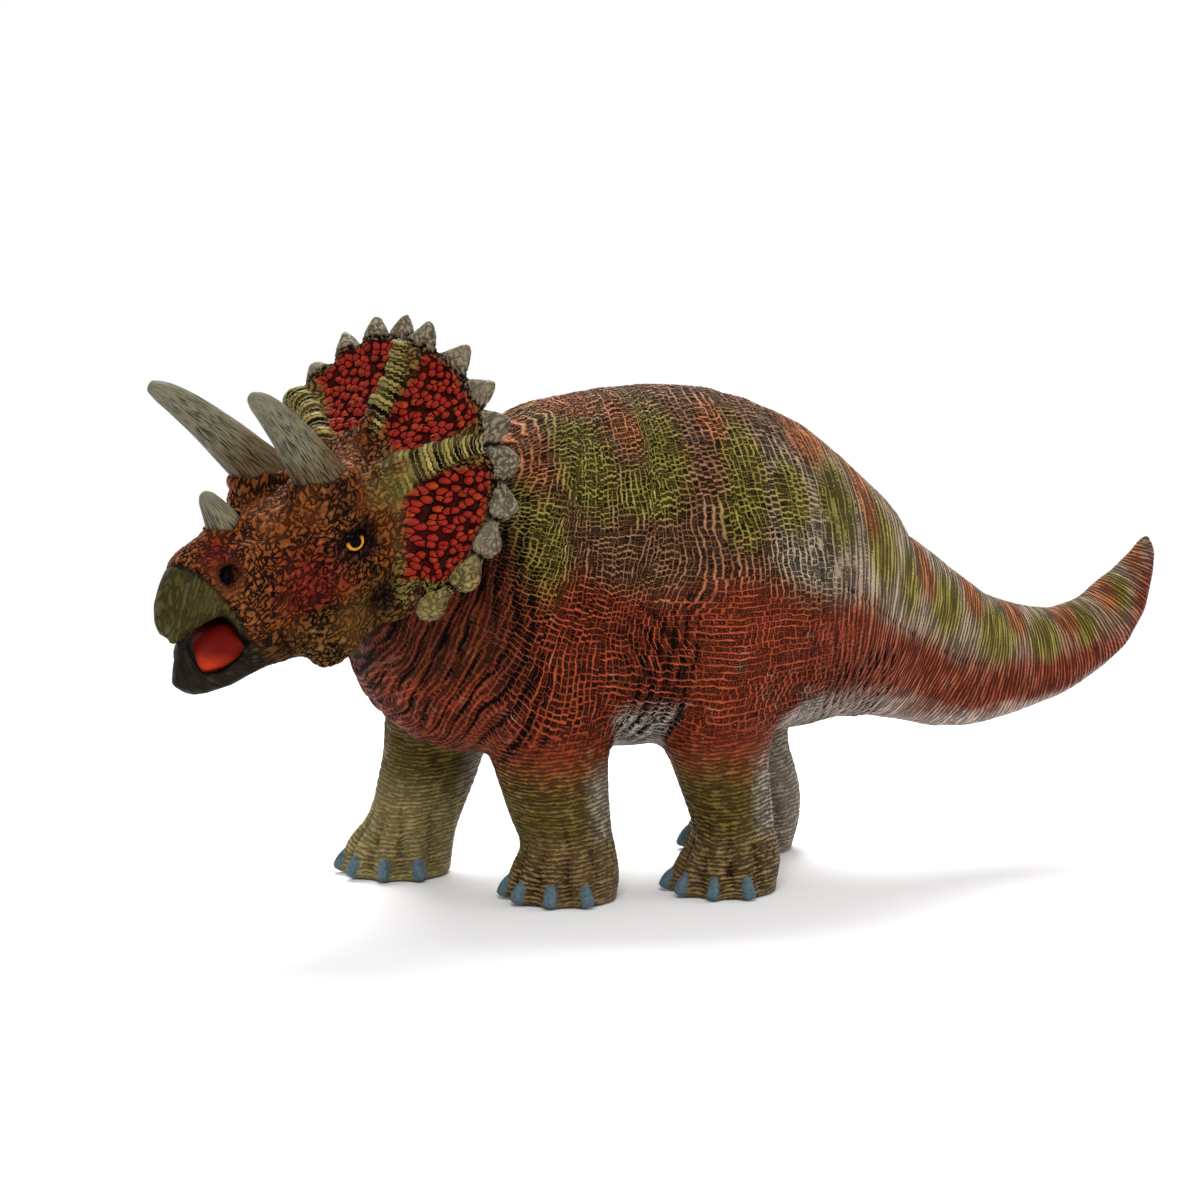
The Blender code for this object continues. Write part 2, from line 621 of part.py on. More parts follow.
def frill_surface(place, reach):
    """A point of the frill, at a place along the rim and a share of the way out to it."""
    rows = frill_rows()
    flat = [(*root, *rim) for root, rim in rows]
    index = min(max(place, 0), len(flat) - 1)
    start = min(int(index), len(flat) - 2)
    t = index - start
    before = flat[max(start - 1, 0)]
    after = flat[min(start + 2, len(flat) - 1)]
    curve = smooth_rows([before, flat[start], flat[start + 1], after], CURVE_STEPS)
    row = curve[CURVE_STEPS + round(t * CURVE_STEPS)]
    root = frill_point(*row[:3])
    rim = frill_point(*row[3:6])
    inset = RIM_SCALE_LENGTH * between(FRILL_INSET_SHARES, row[6])
    edge = rim - (rim - root).normalized() * inset
    dish = math.sin(math.pi * reach) * FRILL_DISH_SHARE * FRILL_SWEEP
    return root.lerp(edge, reach) - Vector((dish, 0, 0))


def frill_normal(place, reach):
    """The direction out of the front of the frill."""
    along = frill_surface(place + PROBE_SHARE, reach) - frill_surface(place - PROBE_SHARE, reach)
    outer = frill_surface(place, min(reach + PROBE_SHARE, 1))
    outward = outer - frill_surface(place, max(reach - PROBE_SHARE, 0))
    return along.cross(outward).normalized()


def frill_sheet():
    """The shield of the frill, a dished sheet of even thickness."""
    columns = FRILL_COLUMNS * (len(frill_rows()) - 1)
    front = []
    back = []
    for column in range(columns + 1):
        for step in range(FRILL_STEPS + 1):
            place = column / FRILL_COLUMNS
            reach = step / FRILL_STEPS
            point = frill_surface(place, reach)
            half = frill_normal(place, reach) * (FRILL_THICKNESS * (1 - FRILL_TAPER_SHARE * reach) / 2)
            front.append(point + half)
            back.append(point - half)
    stride = FRILL_STEPS + 1
    count = len(front)
    faces = []
    for column in range(columns):
        for step in range(FRILL_STEPS):
            a = column * stride + step
            b = a + 1
            c = a + stride + 1
            d = a + stride
            faces.append((a, b, c, d))
            faces.append((count + d, count + c, count + b, count + a))
    for column in range(columns):
        for step in (0, FRILL_STEPS):
            a = column * stride + step
            b = a + stride
            faces.append((a, b, count + b, count + a))
    for step in range(FRILL_STEPS):
        for column in (0, columns):
            a = column * stride + step
            faces.append((a, a + 1, count + a + 1, count + a))
    return mesh_object("frill", front + back, faces)


def rim_scale_forms():
    """One pointed or rounded scale at each station of the rim."""
    forms = []
    for index, (root, rim) in enumerate(frill_rows()):
        pointed = rim[3]
        base = frill_surface(index, RIM_SEAT_SHARE)
        normal = frill_normal(index, RIM_SEAT_SHARE)
        along = (frill_point(*rim[:3]) - base).normalized()
        tip = frill_point(*rim[:3]) + along * (RIM_TIP_SHARE * pointed * RIM_SCALE_LENGTH)
        across = normal.cross(along).normalized()
        fullness = 1 + RIM_FULLNESS_SHARE * (1 - pointed)
        power = between((RIM_ROUND_POWER, RIM_POINTED_POWER), pointed)
        rings = []
        for share in RIM_STATION_SHARES:
            width = 1 - RIM_CLOSING_SHARE * share ** power
            half = width * RIM_SCALE_WIDTH / 2
            thick = math.sqrt(width) * fullness * RIM_SCALE_THICKNESS / 2
            rings.append(oval(base.lerp(tip, share), across, normal, half, thick, thick, RIM_SCALE_SIDES))
        forms.append(loft("rim_scale", rings))
    return forms


def ridge_forms():
    """The raised ribs of the frill: one on the midline and one on each side."""
    middle = (len(frill_rows()) - 1) / 2
    forms = []
    for offset in RIDGE_OFFSETS:
        centres = []
        halves = []
        for step in range(RIDGE_STEPS + 1):
            share = step / RIDGE_STEPS
            reach = share * RIDGE_REACH_SHARE
            lift = frill_normal(middle + offset, reach) * (FRILL_THICKNESS * RIDGE_LIFT_SHARE)
            centres.append(frill_surface(middle + offset, reach) + lift)
            halves.append(between(RIDGE_WIDTH_SHARES, share) * RIDGE_WIDTH / 2)
        forms.append(loft("ridge", path_rings(centres, halves, halves, SEAT_SIDES)))
    return forms


def boss_forms():
    """The paired swellings of brow, eye rim, cheek, jowl and snout."""
    forms = []
    for name, (middle, halves) in BOSS_SHARES.items():
        for side in (1, -1):
            place = head_point(middle[0], side * middle[1], middle[2])
            half_lengths = (halves[0] * HEAD_LENGTH, halves[1] * HEAD_WIDTH, halves[2] * HEAD_DEPTH)
            forms.append(ellipsoid(name, place, half_lengths))
    place, halves = NOSE_BOSS_SHARES
    half_lengths = (halves[0] * HEAD_LENGTH, halves[1] * HEAD_WIDTH, halves[2] * HEAD_DEPTH)
    forms.append(ellipsoid("nose_boss", head_point(*place), half_lengths))
    return forms


def horn_form(name, place, curve, length, width, side, spare):
    """A tapered, curved horn whose root is sunk in the skull."""
    root, bend, tip = [Vector((p[0], side * p[1], p[2])) * length for p in curve]
    steps = len(HORN_TAPER_SHARES) - 1
    centres = []
    for step in range(steps + 1):
        t = step / steps
        centres.append(place + root * (1 - t) ** 2 + bend * (2 * t * (1 - t)) + tip * t ** 2)
    halves = [share * width / 2 + spare for share in HORN_TAPER_SHARES]
    centres[0] = centres[0] - (centres[1] - centres[0]).normalized() * spare
    return loft(name, path_rings(centres, halves, halves, PEG_SIDES))


def brow_horn(name, side, spare):
    forward, left, up = BROW_HORN_PLACE_SHARES
    place = head_point(forward, side * left, up)
    return horn_form(name, place, BROW_HORN_CURVE_SHARES, BROW_HORN_LENGTH, BROW_HORN_WIDTH, side, spare)


def nose_horn(name, spare):
    place = head_point(*NOSE_HORN_PLACE_SHARES)
    return horn_form(name, place, NOSE_HORN_CURVE_SHARES, NOSE_HORN_LENGTH, NOSE_HORN_WIDTH, 1, spare)


def eye_form(name, side, spare):
    radius = EYE_DIAMETER / 2 + spare
    place = head_point(EYE_SHARES[0], side * EYE_SHARES[1], EYE_SHARES[2])
    return ellipsoid(name, place, (radius, radius, radius))


def nostril_form(side):
    radius = NOSTRIL_DIAMETER / 2
    place = head_point(NOSTRIL_SHARES[0], side * NOSTRIL_SHARES[1], NOSTRIL_SHARES[2])
    return ellipsoid("nostril", place, (radius * NOSTRIL_STRETCH_SHARE, radius, radius))


def tongue_form(name, spare):
    turn = Matrix.Rotation(math.radians(TONGUE_PITCH), 4, "Y")
    halves = (TONGUE_LENGTH / 2, TONGUE_WIDTH / 2, TONGUE_WIDTH * TONGUE_HEIGHT_SHARE)
    return ellipsoid(name, head_point(*TONGUE_SHARES), [half + spare for half in halves], turn)


def mouth_form():
    """The hollow of the mouth, under the beak and down into the lower jaw."""
    (forward, up), halves = MOUTH_SHARES
    half_lengths = (halves[0] * HEAD_LENGTH, halves[1] * HEAD_WIDTH, halves[2] * HEAD_DEPTH)
    return ellipsoid("mouth", head_point(forward, 0, up), half_lengths)


def grown_outline(points, gap):
    """A closed outline moved outwards by a gap, with mitred corners."""
    grown = []
    for index, point in enumerate(points):
        before = (point - points[index - 1]).normalized()
        after = (points[(index + 1) % len(points)] - point).normalized()
        normal_before = Vector((before.y, -before.x))
        normal_after = Vector((after.y, -after.x))
        mitre = (normal_before + normal_after).normalized()
        grown.append(point + mitre * (gap / mitre.dot(normal_after)))
    return grown


def jaw_block(gap):
    """The space of the lower jaw, under the mouth line and in front of the throat."""
    outline = [Vector((forward * HEAD_LENGTH, up * HEAD_DEPTH)) for forward, up in JAW_PARTING_SHARES]
    outline = grown_outline(outline, gap)
    rings = []
    for side in (-1, 1):
        half = side * (JAW_BLOCK_WIDTH_SHARE * HEAD_WIDTH + gap)
        rings.append([Vector((point.x, half, point.y)) for point in outline])
    return loft("jaw_block", rings)


def head_frame(root):
    """The empty that carries the head, turned, nodded and tilted."""
    frame = bpy.data.objects.new("head_frame", None)
    bpy.context.collection.objects.link(frame)
    frame.parent = root
    frame.location = body_point(*HEAD_PLACE_SHARES)
    turn = Matrix.Rotation(math.radians(180 + HEAD_TURN), 4, "Z")
    nod = Matrix.Rotation(math.radians(HEAD_NOD), 4, "Y")
    tilt = Matrix.Rotation(math.radians(HEAD_TILT), 4, "X")
    frame.rotation_euler = (turn @ nod @ tilt).to_euler()
    return frame


def settle():
    """Keep each moulding as its cuts leave it, mark its sharp edges and drop the tools."""
    solids = [thing for thing in bpy.data.objects if thing.type == "MESH" and not thing.hide_render]
    meshes = [evaluated_mesh(thing) for thing in solids]
    for thing, mesh in zip(solids, meshes):
        thing.modifiers.clear()
        thing.data = mesh
        mesh.name = thing.name
        mesh.shade_smooth()
        mesh.set_sharp_from_angle(angle=math.radians(SHARP_ANGLE))
    for thing in list(bpy.data.objects):
        if thing.type == "MESH" and thing.hide_render:
            bpy.data.objects.remove(thing, do_unlink=True)


def build_body(root, paint):
    """Torso, tail and legs, cut from one fused skin."""
    forms = [trunk_form(), neck_form(0), tail_form()]
    forms += [muscle_form(name) for name in MUSCLE_SHARES]
    for name in LEG_SHARES:
        forms.append(leg_form(name))
        forms += toe_forms(name)
    skin = fuse("body_skin", forms, BODY_VOXEL, BODY_SOFTENING, BODY_FACES)
    ground = as_cutter(ground_block(), root)
    torso = piece("torso", skin, paint["painted_pvc_body"], root)
    tail = piece("tail", skin, paint["painted_pvc_body"], root)

    middle, along = rump_frame()
    boolean(tail, as_cutter(tail_block(0), root), "INTERSECT")
    boolean(torso, as_cutter(tail_block(GLUE_GAP), root), "DIFFERENCE")
    inner = middle - along * TAIL_PEG_LENGTH
    length = TAIL_PEG_LENGTH * (1 + PEG_HOLD_SHARE)
    boolean(tail, as_cutter(peg("tail_peg", inner, along, TAIL_PEG_WIDTH, length), root), "UNION")
    deep = inner - along * GLUE_GAP
    socket = peg("tail_socket", deep, along, TAIL_PEG_WIDTH + 2 * GLUE_GAP, length)
    boolean(torso, as_cutter(socket, root), "DIFFERENCE")

    for name in LEG_SHARES:
        leg = piece(name, skin, paint["painted_pvc_leg"], root)
        boolean(leg, as_cutter(leg_sleeve(name, 0), root), "INTERSECT")
        boolean(torso, as_cutter(leg_sleeve(name, GLUE_GAP), root), "DIFFERENCE")
        for angle in TOE_DIRECTIONS:
            boolean(leg, as_cutter(claw_form(name, angle), root), "UNION")
        start = sleeve_top(name)
        upward = Vector((0, 0, 1))
        length = LEG_PEG_LENGTH * (1 + PEG_HOLD_SHARE)
        boolean(leg, as_cutter(peg(name + "_peg", start, upward, LEG_PEG_WIDTH, length), root), "UNION")
        wide = LEG_PEG_WIDTH + 2 * GLUE_GAP
        socket = peg(name + "_socket", start, upward, wide, length + GLUE_GAP)
        boolean(torso, as_cutter(socket, root), "DIFFERENCE")
        boolean(leg, ground, "DIFFERENCE")


def build_head(root, paint):
    """Head and lower jaw, cut from one fused skin, with the horns, eyes and tongue seated in them."""
    frame = head_frame(root)
    forms = [head_loft("skull", SKULL_SHARES), head_loft("beak", BEAK_SHARES), head_loft("jaw", JAW_SHARES)]
    forms += [jaw_point_form(), frill_sheet()]
    forms += rim_scale_forms() + ridge_forms() + boss_forms()
    skin = fuse("head_skin", forms, HEAD_VOXEL, HEAD_SOFTENING, HEAD_FACES)
    head = piece("head", skin, paint["painted_pvc_head"], frame)
    jaw = piece("lower_jaw", skin, paint["painted_pvc_jaw"], frame)
    boolean(head, as_cutter(jaw_block(GLUE_GAP), frame), "DIFFERENCE")
    boolean(jaw, as_cutter(jaw_block(0), frame), "INTERSECT")
    mouth = as_cutter(mouth_form(), frame)
    boolean(head, mouth, "DIFFERENCE")
    boolean(jaw, mouth, "DIFFERENCE")
    boolean(head, as_cutter(neck_form(GLUE_GAP + SKIN_ALLOWANCE), root), "DIFFERENCE")

    start = head_point(*JAW_PEG_SHARES)
    upward = Vector((0, 0, 1))
    rise = (JAW_SEAT_SHARE - JAW_PEG_SHARES[2]) * HEAD_DEPTH + JAW_PEG_LENGTH
    boolean(jaw, as_cutter(peg("jaw_peg", start, upward, JAW_PEG_WIDTH, rise), frame), "UNION")
    wide = JAW_PEG_WIDTH + 2 * GLUE_GAP
    socket = peg("jaw_socket", start, upward, wide, rise + GLUE_GAP)
    boolean(head, as_cutter(socket, frame), "DIFFERENCE")

    for side, label in ((1, "left"), (-1, "right")):
        horn = place_under(brow_horn("brow_horn_" + label, side, 0), frame)
        horn.data.materials.append(paint["painted_pvc_horn"])
        boolean(head, as_cutter(brow_horn("brow_socket_" + label, side, GLUE_GAP), frame), "DIFFERENCE")
        eye = place_under(eye_form("eye_" + label, side, 0), frame)
        eye.data.materials.append(paint["painted_gloss_eye"])
        boolean(head, as_cutter(eye_form("eye_socket_" + label, side, GLUE_GAP), frame), "DIFFERENCE")
        boolean(head, as_cutter(nostril_form(side), frame), "DIFFERENCE")
    horn = place_under(nose_horn("nose_horn", 0), frame)
    horn.data.materials.append(paint["painted_pvc_horn"])
    boolean(head, as_cutter(nose_horn("nose_socket", GLUE_GAP), frame), "DIFFERENCE")

    tongue = place_under(tongue_form("tongue", 0), frame)
    tongue.data.materials.append(paint["painted_pvc_tongue"])
    seat = as_cutter(tongue_form("tongue_seat", GLUE_GAP), frame)
    boolean(jaw, seat, "DIFFERENCE")
    boolean(head, seat, "DIFFERENCE")


def centre_figure(root):
    """Shift the figure so that the middle of its footprint is the world origin."""
    bpy.context.view_layer.update()
    corners = []
    for thing in bpy.data.objects:
        if thing.type == "MESH":
            corners += [thing.matrix_world @ vertex.co for vertex in thing.data.vertices]
    for axis in (0, 1):
        low = min(corner[axis] for corner in corners)
        high = max(corner[axis] for corner in corners)
        root.location[axis] = -(low + high) / 2
    bpy.context.view_layer.update()


def main():
    clear_scene()
    paint = {name: painted_pvc(name, *look) for name, look in PAINTS.items()}
    root = bpy.data.objects.new("figure", None)
    bpy.context.collection.objects.link(root)
    build_body(root, paint)
    build_head(root, paint)
    settle()
    centre_figure(root)


main()
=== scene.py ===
# %% [markdown]
# # A hand-painted toy dinosaur
# The real figure is soft PVC, cast in a few mouldings, glued and painted by hand.  Its looks come from
# three things: sculpted wrinkles, a dark wash that stays in them, and a pale dry brush on their edges.
# The CAD model gives the mouldings.  Here each of them gets a finer skin of the same shape, with the
# sculpted relief in its mesh and the paint in its material.

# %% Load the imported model
import json
import math
from functools import partial

import bmesh
import bpy
import numpy as np
from mathutils import Matrix, Vector
from mathutils.bvhtree import BVHTree
from mathutils.kdtree import KDTree

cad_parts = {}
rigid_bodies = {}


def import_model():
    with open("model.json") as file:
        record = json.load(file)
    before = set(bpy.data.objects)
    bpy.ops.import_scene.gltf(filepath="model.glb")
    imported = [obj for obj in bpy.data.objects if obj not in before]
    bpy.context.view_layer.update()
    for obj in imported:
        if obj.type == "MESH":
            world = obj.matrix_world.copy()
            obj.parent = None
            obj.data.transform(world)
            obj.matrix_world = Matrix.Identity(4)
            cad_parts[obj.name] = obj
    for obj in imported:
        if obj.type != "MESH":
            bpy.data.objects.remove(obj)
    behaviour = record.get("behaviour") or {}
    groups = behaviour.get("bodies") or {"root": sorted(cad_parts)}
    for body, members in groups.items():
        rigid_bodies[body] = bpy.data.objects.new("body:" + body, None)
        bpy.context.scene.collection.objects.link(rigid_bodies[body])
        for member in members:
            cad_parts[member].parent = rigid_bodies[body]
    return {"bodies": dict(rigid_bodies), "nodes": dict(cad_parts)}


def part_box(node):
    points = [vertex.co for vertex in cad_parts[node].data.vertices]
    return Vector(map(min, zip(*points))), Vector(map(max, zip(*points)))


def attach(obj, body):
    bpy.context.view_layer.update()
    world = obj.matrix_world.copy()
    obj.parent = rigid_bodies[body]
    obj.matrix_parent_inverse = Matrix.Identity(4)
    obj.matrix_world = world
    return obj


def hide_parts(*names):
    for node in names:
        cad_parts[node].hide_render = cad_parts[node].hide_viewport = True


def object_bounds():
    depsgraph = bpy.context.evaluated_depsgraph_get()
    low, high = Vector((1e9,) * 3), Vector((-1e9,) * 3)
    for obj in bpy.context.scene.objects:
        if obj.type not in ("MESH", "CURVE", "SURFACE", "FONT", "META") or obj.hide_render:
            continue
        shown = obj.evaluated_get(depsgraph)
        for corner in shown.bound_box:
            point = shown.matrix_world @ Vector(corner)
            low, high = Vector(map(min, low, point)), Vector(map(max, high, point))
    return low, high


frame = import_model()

kept = set(frame["nodes"].values()) | set(frame["bodies"].values())
for thing in list(bpy.data.objects):
    if thing not in kept:
        bpy.data.objects.remove(thing, do_unlink=True)
cad_low, cad_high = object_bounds()
MM = 0.001
print("CAD box in mm:", [round(side / MM, 1) for side in cad_high - cad_low])

# %% [markdown]
# The sculptor thinks in two frames: one on the trunk, with the ground at height zero, and one on the
# turned head.  All the places below are millimetres in one of the two.  The head's frame is found from
# the two eyes, so both frames follow the CAD model.

# %% Frames of trunk and head
HEAD_ANGLES = (200.0, 26.3, 1.5)
EYES_IN_HEAD = Vector((18.88, 0.0, -3.45))
HEAD_IN_TRUNK = Vector((-40.14, -4.98, 71.07))


def middle_of(node):
    low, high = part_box(node)
    return (low + high) / 2


turns = [Matrix.Rotation(math.radians(angle), 3, axis) for angle, axis in zip(HEAD_ANGLES, "ZYX")]
head_turn = turns[0] @ turns[1] @ turns[2]
eyes = (middle_of("eye_left") + middle_of("eye_right")) / 2
head_origin = eyes - head_turn @ (EYES_IN_HEAD * MM)
trunk_origin = head_origin - HEAD_IN_TRUNK * MM
HEAD_AXES = np.array(head_turn)


def in_trunk(points):
    """Points of the row frame as millimetres in the trunk's frame."""
    return (points - np.array(trunk_origin)) / MM


def in_head(points):
    """Points of the row frame as millimetres forward, left and up from the frill's root."""
    return (points - np.array(head_origin)) @ HEAD_AXES / MM


print("frill root at", [round(v / MM, 1) for v in head_origin])

# %% [markdown]
# ## Skin from the solids
# The real skin runs over the glued seams.  The solids of a group are swelled a little so that they
# merge, wrapped in one fine voxel mesh and smoothed, which also takes away the facets.

# %% Wrap solids in one skin
SWELL = 0.22 * MM
BODY_VOXEL = 0.47 * MM
HEAD_VOXEL = 0.38 * MM


def welded(node):
    """Vertices, triangles and vertex normals of a CAD node, its corners joined."""
    form = bmesh.new()
    form.from_mesh(frame["nodes"][node].data)
    bmesh.ops.remove_doubles(form, verts=form.verts, dist=0.001 * MM)
    form.normal_update()
    corners = np.array([vertex.co for vertex in form.verts])
    normals = np.array([vertex.normal for vertex in form.verts])
    faces = [[vertex.index for vertex in face.verts] for face in form.faces]
    form.free()
    return corners, faces, normals


def wrap(name, nodes, voxel, smoothing):
    """One smooth skin of quads round some nodes, and a search tree that tells the nodes apart."""
    points = []
    faces = []
    owners = []
    swelled = []
    for node in nodes:
        corners, node_faces, normals = welded(node)
        start = len(points)
        points.extend(corners)
        swelled.extend(corners + normals * SWELL)
        faces.extend([[start + index for index in face] for face in node_faces])
        owners.extend([node] * len(node_faces))
    tree = BVHTree.FromPolygons([Vector(point) for point in points], faces)
    mesh = bpy.data.meshes.new(name)
    mesh.from_pydata(swelled, [], faces)
    thing = bpy.data.objects.new(name, mesh)
    bpy.context.scene.collection.objects.link(thing)
    remesh = thing.modifiers.new("wrap", "REMESH")
    remesh.mode = "VOXEL"
    remesh.voxel_size = voxel
    smooth = thing.modifiers.new("smooth", "SMOOTH")
    smooth.factor = 0.5
    smooth.iterations = smoothing
    graph = bpy.context.evaluated_depsgraph_get()
    skin = bpy.data.meshes.new_from_object(thing.evaluated_get(graph))
    bpy.data.objects.remove(thing)
    count = len(skin.vertices)
    corners = np.empty(count * 3, np.float32)
    skin.vertices.foreach_get("co", corners)
    corners = corners.reshape(-1, 3).astype(float)
    quads = np.empty(len(skin.loops), np.int32)
    skin.loops.foreach_get("vertex_index", quads)
    quads = quads.reshape(-1, 4)
    bpy.data.meshes.remove(skin)
    corners, quads = outer_shell(corners, quads)
    print(name, "has", len(quads), "quads")
    return corners, quads, tree, owners


def outer_shell(corners, quads):
    """Only what hangs together with the outermost vertex, without bubbles inside."""
    reached = np.zeros(len(corners), bool)
    reached[corners[:, 0].argmin()] = True
    starts = quads.ravel()
    ends = np.roll(quads, -1, axis=1).ravel()
    while True:
        crossing = reached[starts] != reached[ends]
        if not crossing.any():
            break
        reached[starts[crossing]] = True
        reached[ends[crossing]] = True
    numbers = np.cumsum(reached) - 1
    return corners[reached], numbers[quads[reached[quads[:, 0]]]]


def vertex_normals(corners, quads):
    """Unit normals from the two diagonals of each quad."""
    across = corners[quads[:, 2]] - corners[quads[:, 0]]
    along = corners[quads[:, 3]] - corners[quads[:, 1]]
    face = np.cross(across, along)
    total = np.zeros_like(corners)
    for side in range(4):
        for axis in range(3):
            total[:, axis] += np.bincount(quads[:, side], face[:, axis], len(corners))
    return total / np.maximum(np.linalg.norm(total, axis=1), 1e-12)[:, None]


BODY_NODES = ("torso", "tail", "front_leg_left", "front_leg_right", "hind_leg_left", "hind_leg_right")
HEAD_NODES = ("head", "lower_jaw")
body_points, body_quads, body_tree, body_owners = wrap("body_wrap", BODY_NODES, BODY_VOXEL, 17)
head_points, head_quads, head_tree, head_owners = wrap("head_wrap", HEAD_NODES, HEAD_VOXEL, 5)

# %% [markdown]
# ## Coordinates on the skin
# Wrinkles follow the body: they ring the legs and the tail and cross the flank in a loose grid.  So
# each vertex gets coordinates in millimetres along and round the limb that carries it.

# %% Helpers for masks and soft noise
rng = np.random.default_rng(7)
LATTICE = rng.random((32, 32, 32))


def ramp(value, start, end):
    """0 at start and 1 at end, with a soft step between them."""
    t = np.clip((value - start) / (end - start), 0, 1)
    return t * t * (3 - 2 * t)


def noise(points, size, offset=0.0):
    """Smooth noise from -1 to 1 whose bumps are about size across."""
    place = points / size + offset
    cell = np.floor(place).astype(int)
    t = place - cell
    t = t * t * (3 - 2 * t)
    total = 0
    for x in (0, 1):
        for y in (0, 1):
            for z in (0, 1):
                share = np.ones(len(points))
                for axis, step in enumerate((x, y, z)):
                    share = share * (t[:, axis] if step else 1 - t[:, axis])
                index = (cell + (x, y, z)) % 32
                total = total + share * LATTICE[index[:, 0], index[:, 1], index[:, 2]]
    return total * 2 - 1


def smooth_curve(rows, steps):
    """Rows on a curve through the given ones."""
    rows = np.array(rows, float)
    ends = np.vstack([2 * rows[0] - rows[1], rows, 2 * rows[-1] - rows[-2]])
    result = []
    for index in range(1, len(ends) - 2):
        a, b, c, d = ends[index - 1:index + 3]
        for step in range(steps):
            t = step / steps
            result.append(0.5 * (2 * b + (c - a) * t + (2 * a - 5 * b + 4 * c - d) * t ** 2
                                 + (3 * b - a - 3 * c + d) * t ** 3))
    result.append(ends[-2])
    return np.array(result)


# %% Along and round the spine
SPINE = (
    (-46, -5.8, 60), (-36, -4, 54), (-22, -3, 46), (-5, -4.4, 42), (11, -6.2, 41.5), (28, -7.8, 41.5),
    (40, -8, 39.5), (50, -8, 36), (60, -8, 32), (68, -7.9, 31), (76.7, -7.6, 31.7), (84.5, -7.2, 34.6),
    (89.2, -6.9, 39), (92.6, -6.6, 43.9), (95.5, -6.3, 52))
TRUNK_RADIUS = 26.0


def along_path(points, path):
    """Distance along a path, angle round it from its upper side, and distance from it."""
    steps = np.diff(path, axis=0)
    lengths = np.linalg.norm(steps, axis=1)
    places = np.concatenate([[0], np.cumsum(lengths)])
    middles = (path[1:] + path[:-1]) / 2
    nearest = np.empty(len(points), int)
    for start in range(0, len(points), 20000):
        part = points[start:start + 20000]
        gaps = ((part[:, None, :] - middles[None]) ** 2).sum(axis=2)
        nearest[start:start + 20000] = gaps.argmin(axis=1)
    tangents = steps / lengths[:, None]
    tangent = tangents[nearest]
    away = points - middles[nearest]
    forward = (away * tangent).sum(axis=1)
    distance = (places[nearest] + places[nearest + 1]) / 2 + forward
    radial = away - tangent * forward[:, None]
    side = np.cross(tangent, (0, 0, 1))
    side /= np.maximum(np.linalg.norm(side, axis=1), 1e-9)[:, None]
    upward = np.cross(side, tangent)
    angle = np.arctan2((radial * side).sum(axis=1), (radial * upward).sum(axis=1))
    return distance, angle, np.linalg.norm(radial, axis=1)


trunk = in_trunk(body_points)
spine = smooth_curve(SPINE, 12)
spine_place, spine_angle, spine_reach = along_path(trunk, spine)

# %% Along and round each leg
LEG_PATHS = {
    "front_leg_left": ((-17.4, -15.9, 36), (-16.9, -15.9, 22.8), (-15.8, -16.2, 15), (-14.1, -16.4, 8.7),
                       (-15.3, -17.5, 0)),
    "front_leg_right": ((-23.5, 10.6, 36), (-24.6, 11.4, 22.8), (-26.8, 11.7, 14.2), (-29.1, 11.8, 7.9),
                        (-31.6, 11.8, 0)),
    "hind_leg_left": ((11.7, -20.1, 39), (9.4, -21.2, 26), (10.5, -22, 16.9), (11.9, -22.3, 10.2),
                      (10.5, -22.3, 0)),
    "hind_leg_right": ((22.1, 5.3, 39), (25.4, 6.1, 26), (27.1, 6.4, 17.7), (29.6, 6.5, 10.2),
                       (26.7, 6.5, 0)),
}
leg_gap = np.full(len(trunk), 1e9)
leg_middle = np.zeros((len(trunk), 2))
foot_middle = np.zeros((len(trunk), 2))
for path in LEG_PATHS.values():
    curve = smooth_curve(path, 8)[::-1]
    middle = np.stack([np.interp(trunk[:, 2], curve[:, 2], curve[:, axis]) for axis in (0, 1)], axis=1)
    gap = np.hypot(*(trunk[:, :2] - middle).T)
    nearer = gap < leg_gap
    leg_gap[nearer] = gap[nearer]
    leg_middle[nearer] = middle[nearer]
    foot_middle[nearer] = curve[0, :2]
leg_angle = np.arctan2(trunk[:, 1] - leg_middle[:, 1], trunk[:, 0] - leg_middle[:, 0])
foot_away = trunk[:, :2] - foot_middle
foot_angle = np.degrees(np.arctan2(foot_away[:, 1], foot_away[:, 0])) % 360
height = trunk[:, 2]
leg_share = ramp(height, 30, 22) * ramp(leg_gap, 15, 12)
tail_share = ramp(trunk[:, 0], 16, 38)
neck_share = ramp(trunk[:, 0], -24, -31) * ramp(height, 68, 60) * (1 - leg_share)
ring_share = np.maximum(np.maximum(leg_share, tail_share), neck_share)
wobble = noise(trunk, 9.0) * 1.2 + noise(trunk, 4.0, 5.3) * 0.4
NECK_FOLD = 2.5
neck_line = trunk[:, 0] - 0.3 * (height - 43) + wobble
print("spine", round(float(spine_place.max())), "mm long")

# %% [markdown]
# ## Sculpted folds of the body
# Deep folds hang round the neck, arcs circle the shoulder, creases gather in front of the thigh, and
# toes stand out of each foot.  They are moves of the vertices along their normals, in millimetres.

# %% Fold the body's skin
TOE_ANGLES = (158.0, 196.0, 233.0, 270.0)


def folds(place, spacing, sharpness):
    """Rounded ridges with narrow valleys, from -1 in a valley to 0 on a ridge."""
    return np.abs(np.sin(np.pi * place / spacing)) ** sharpness - 1


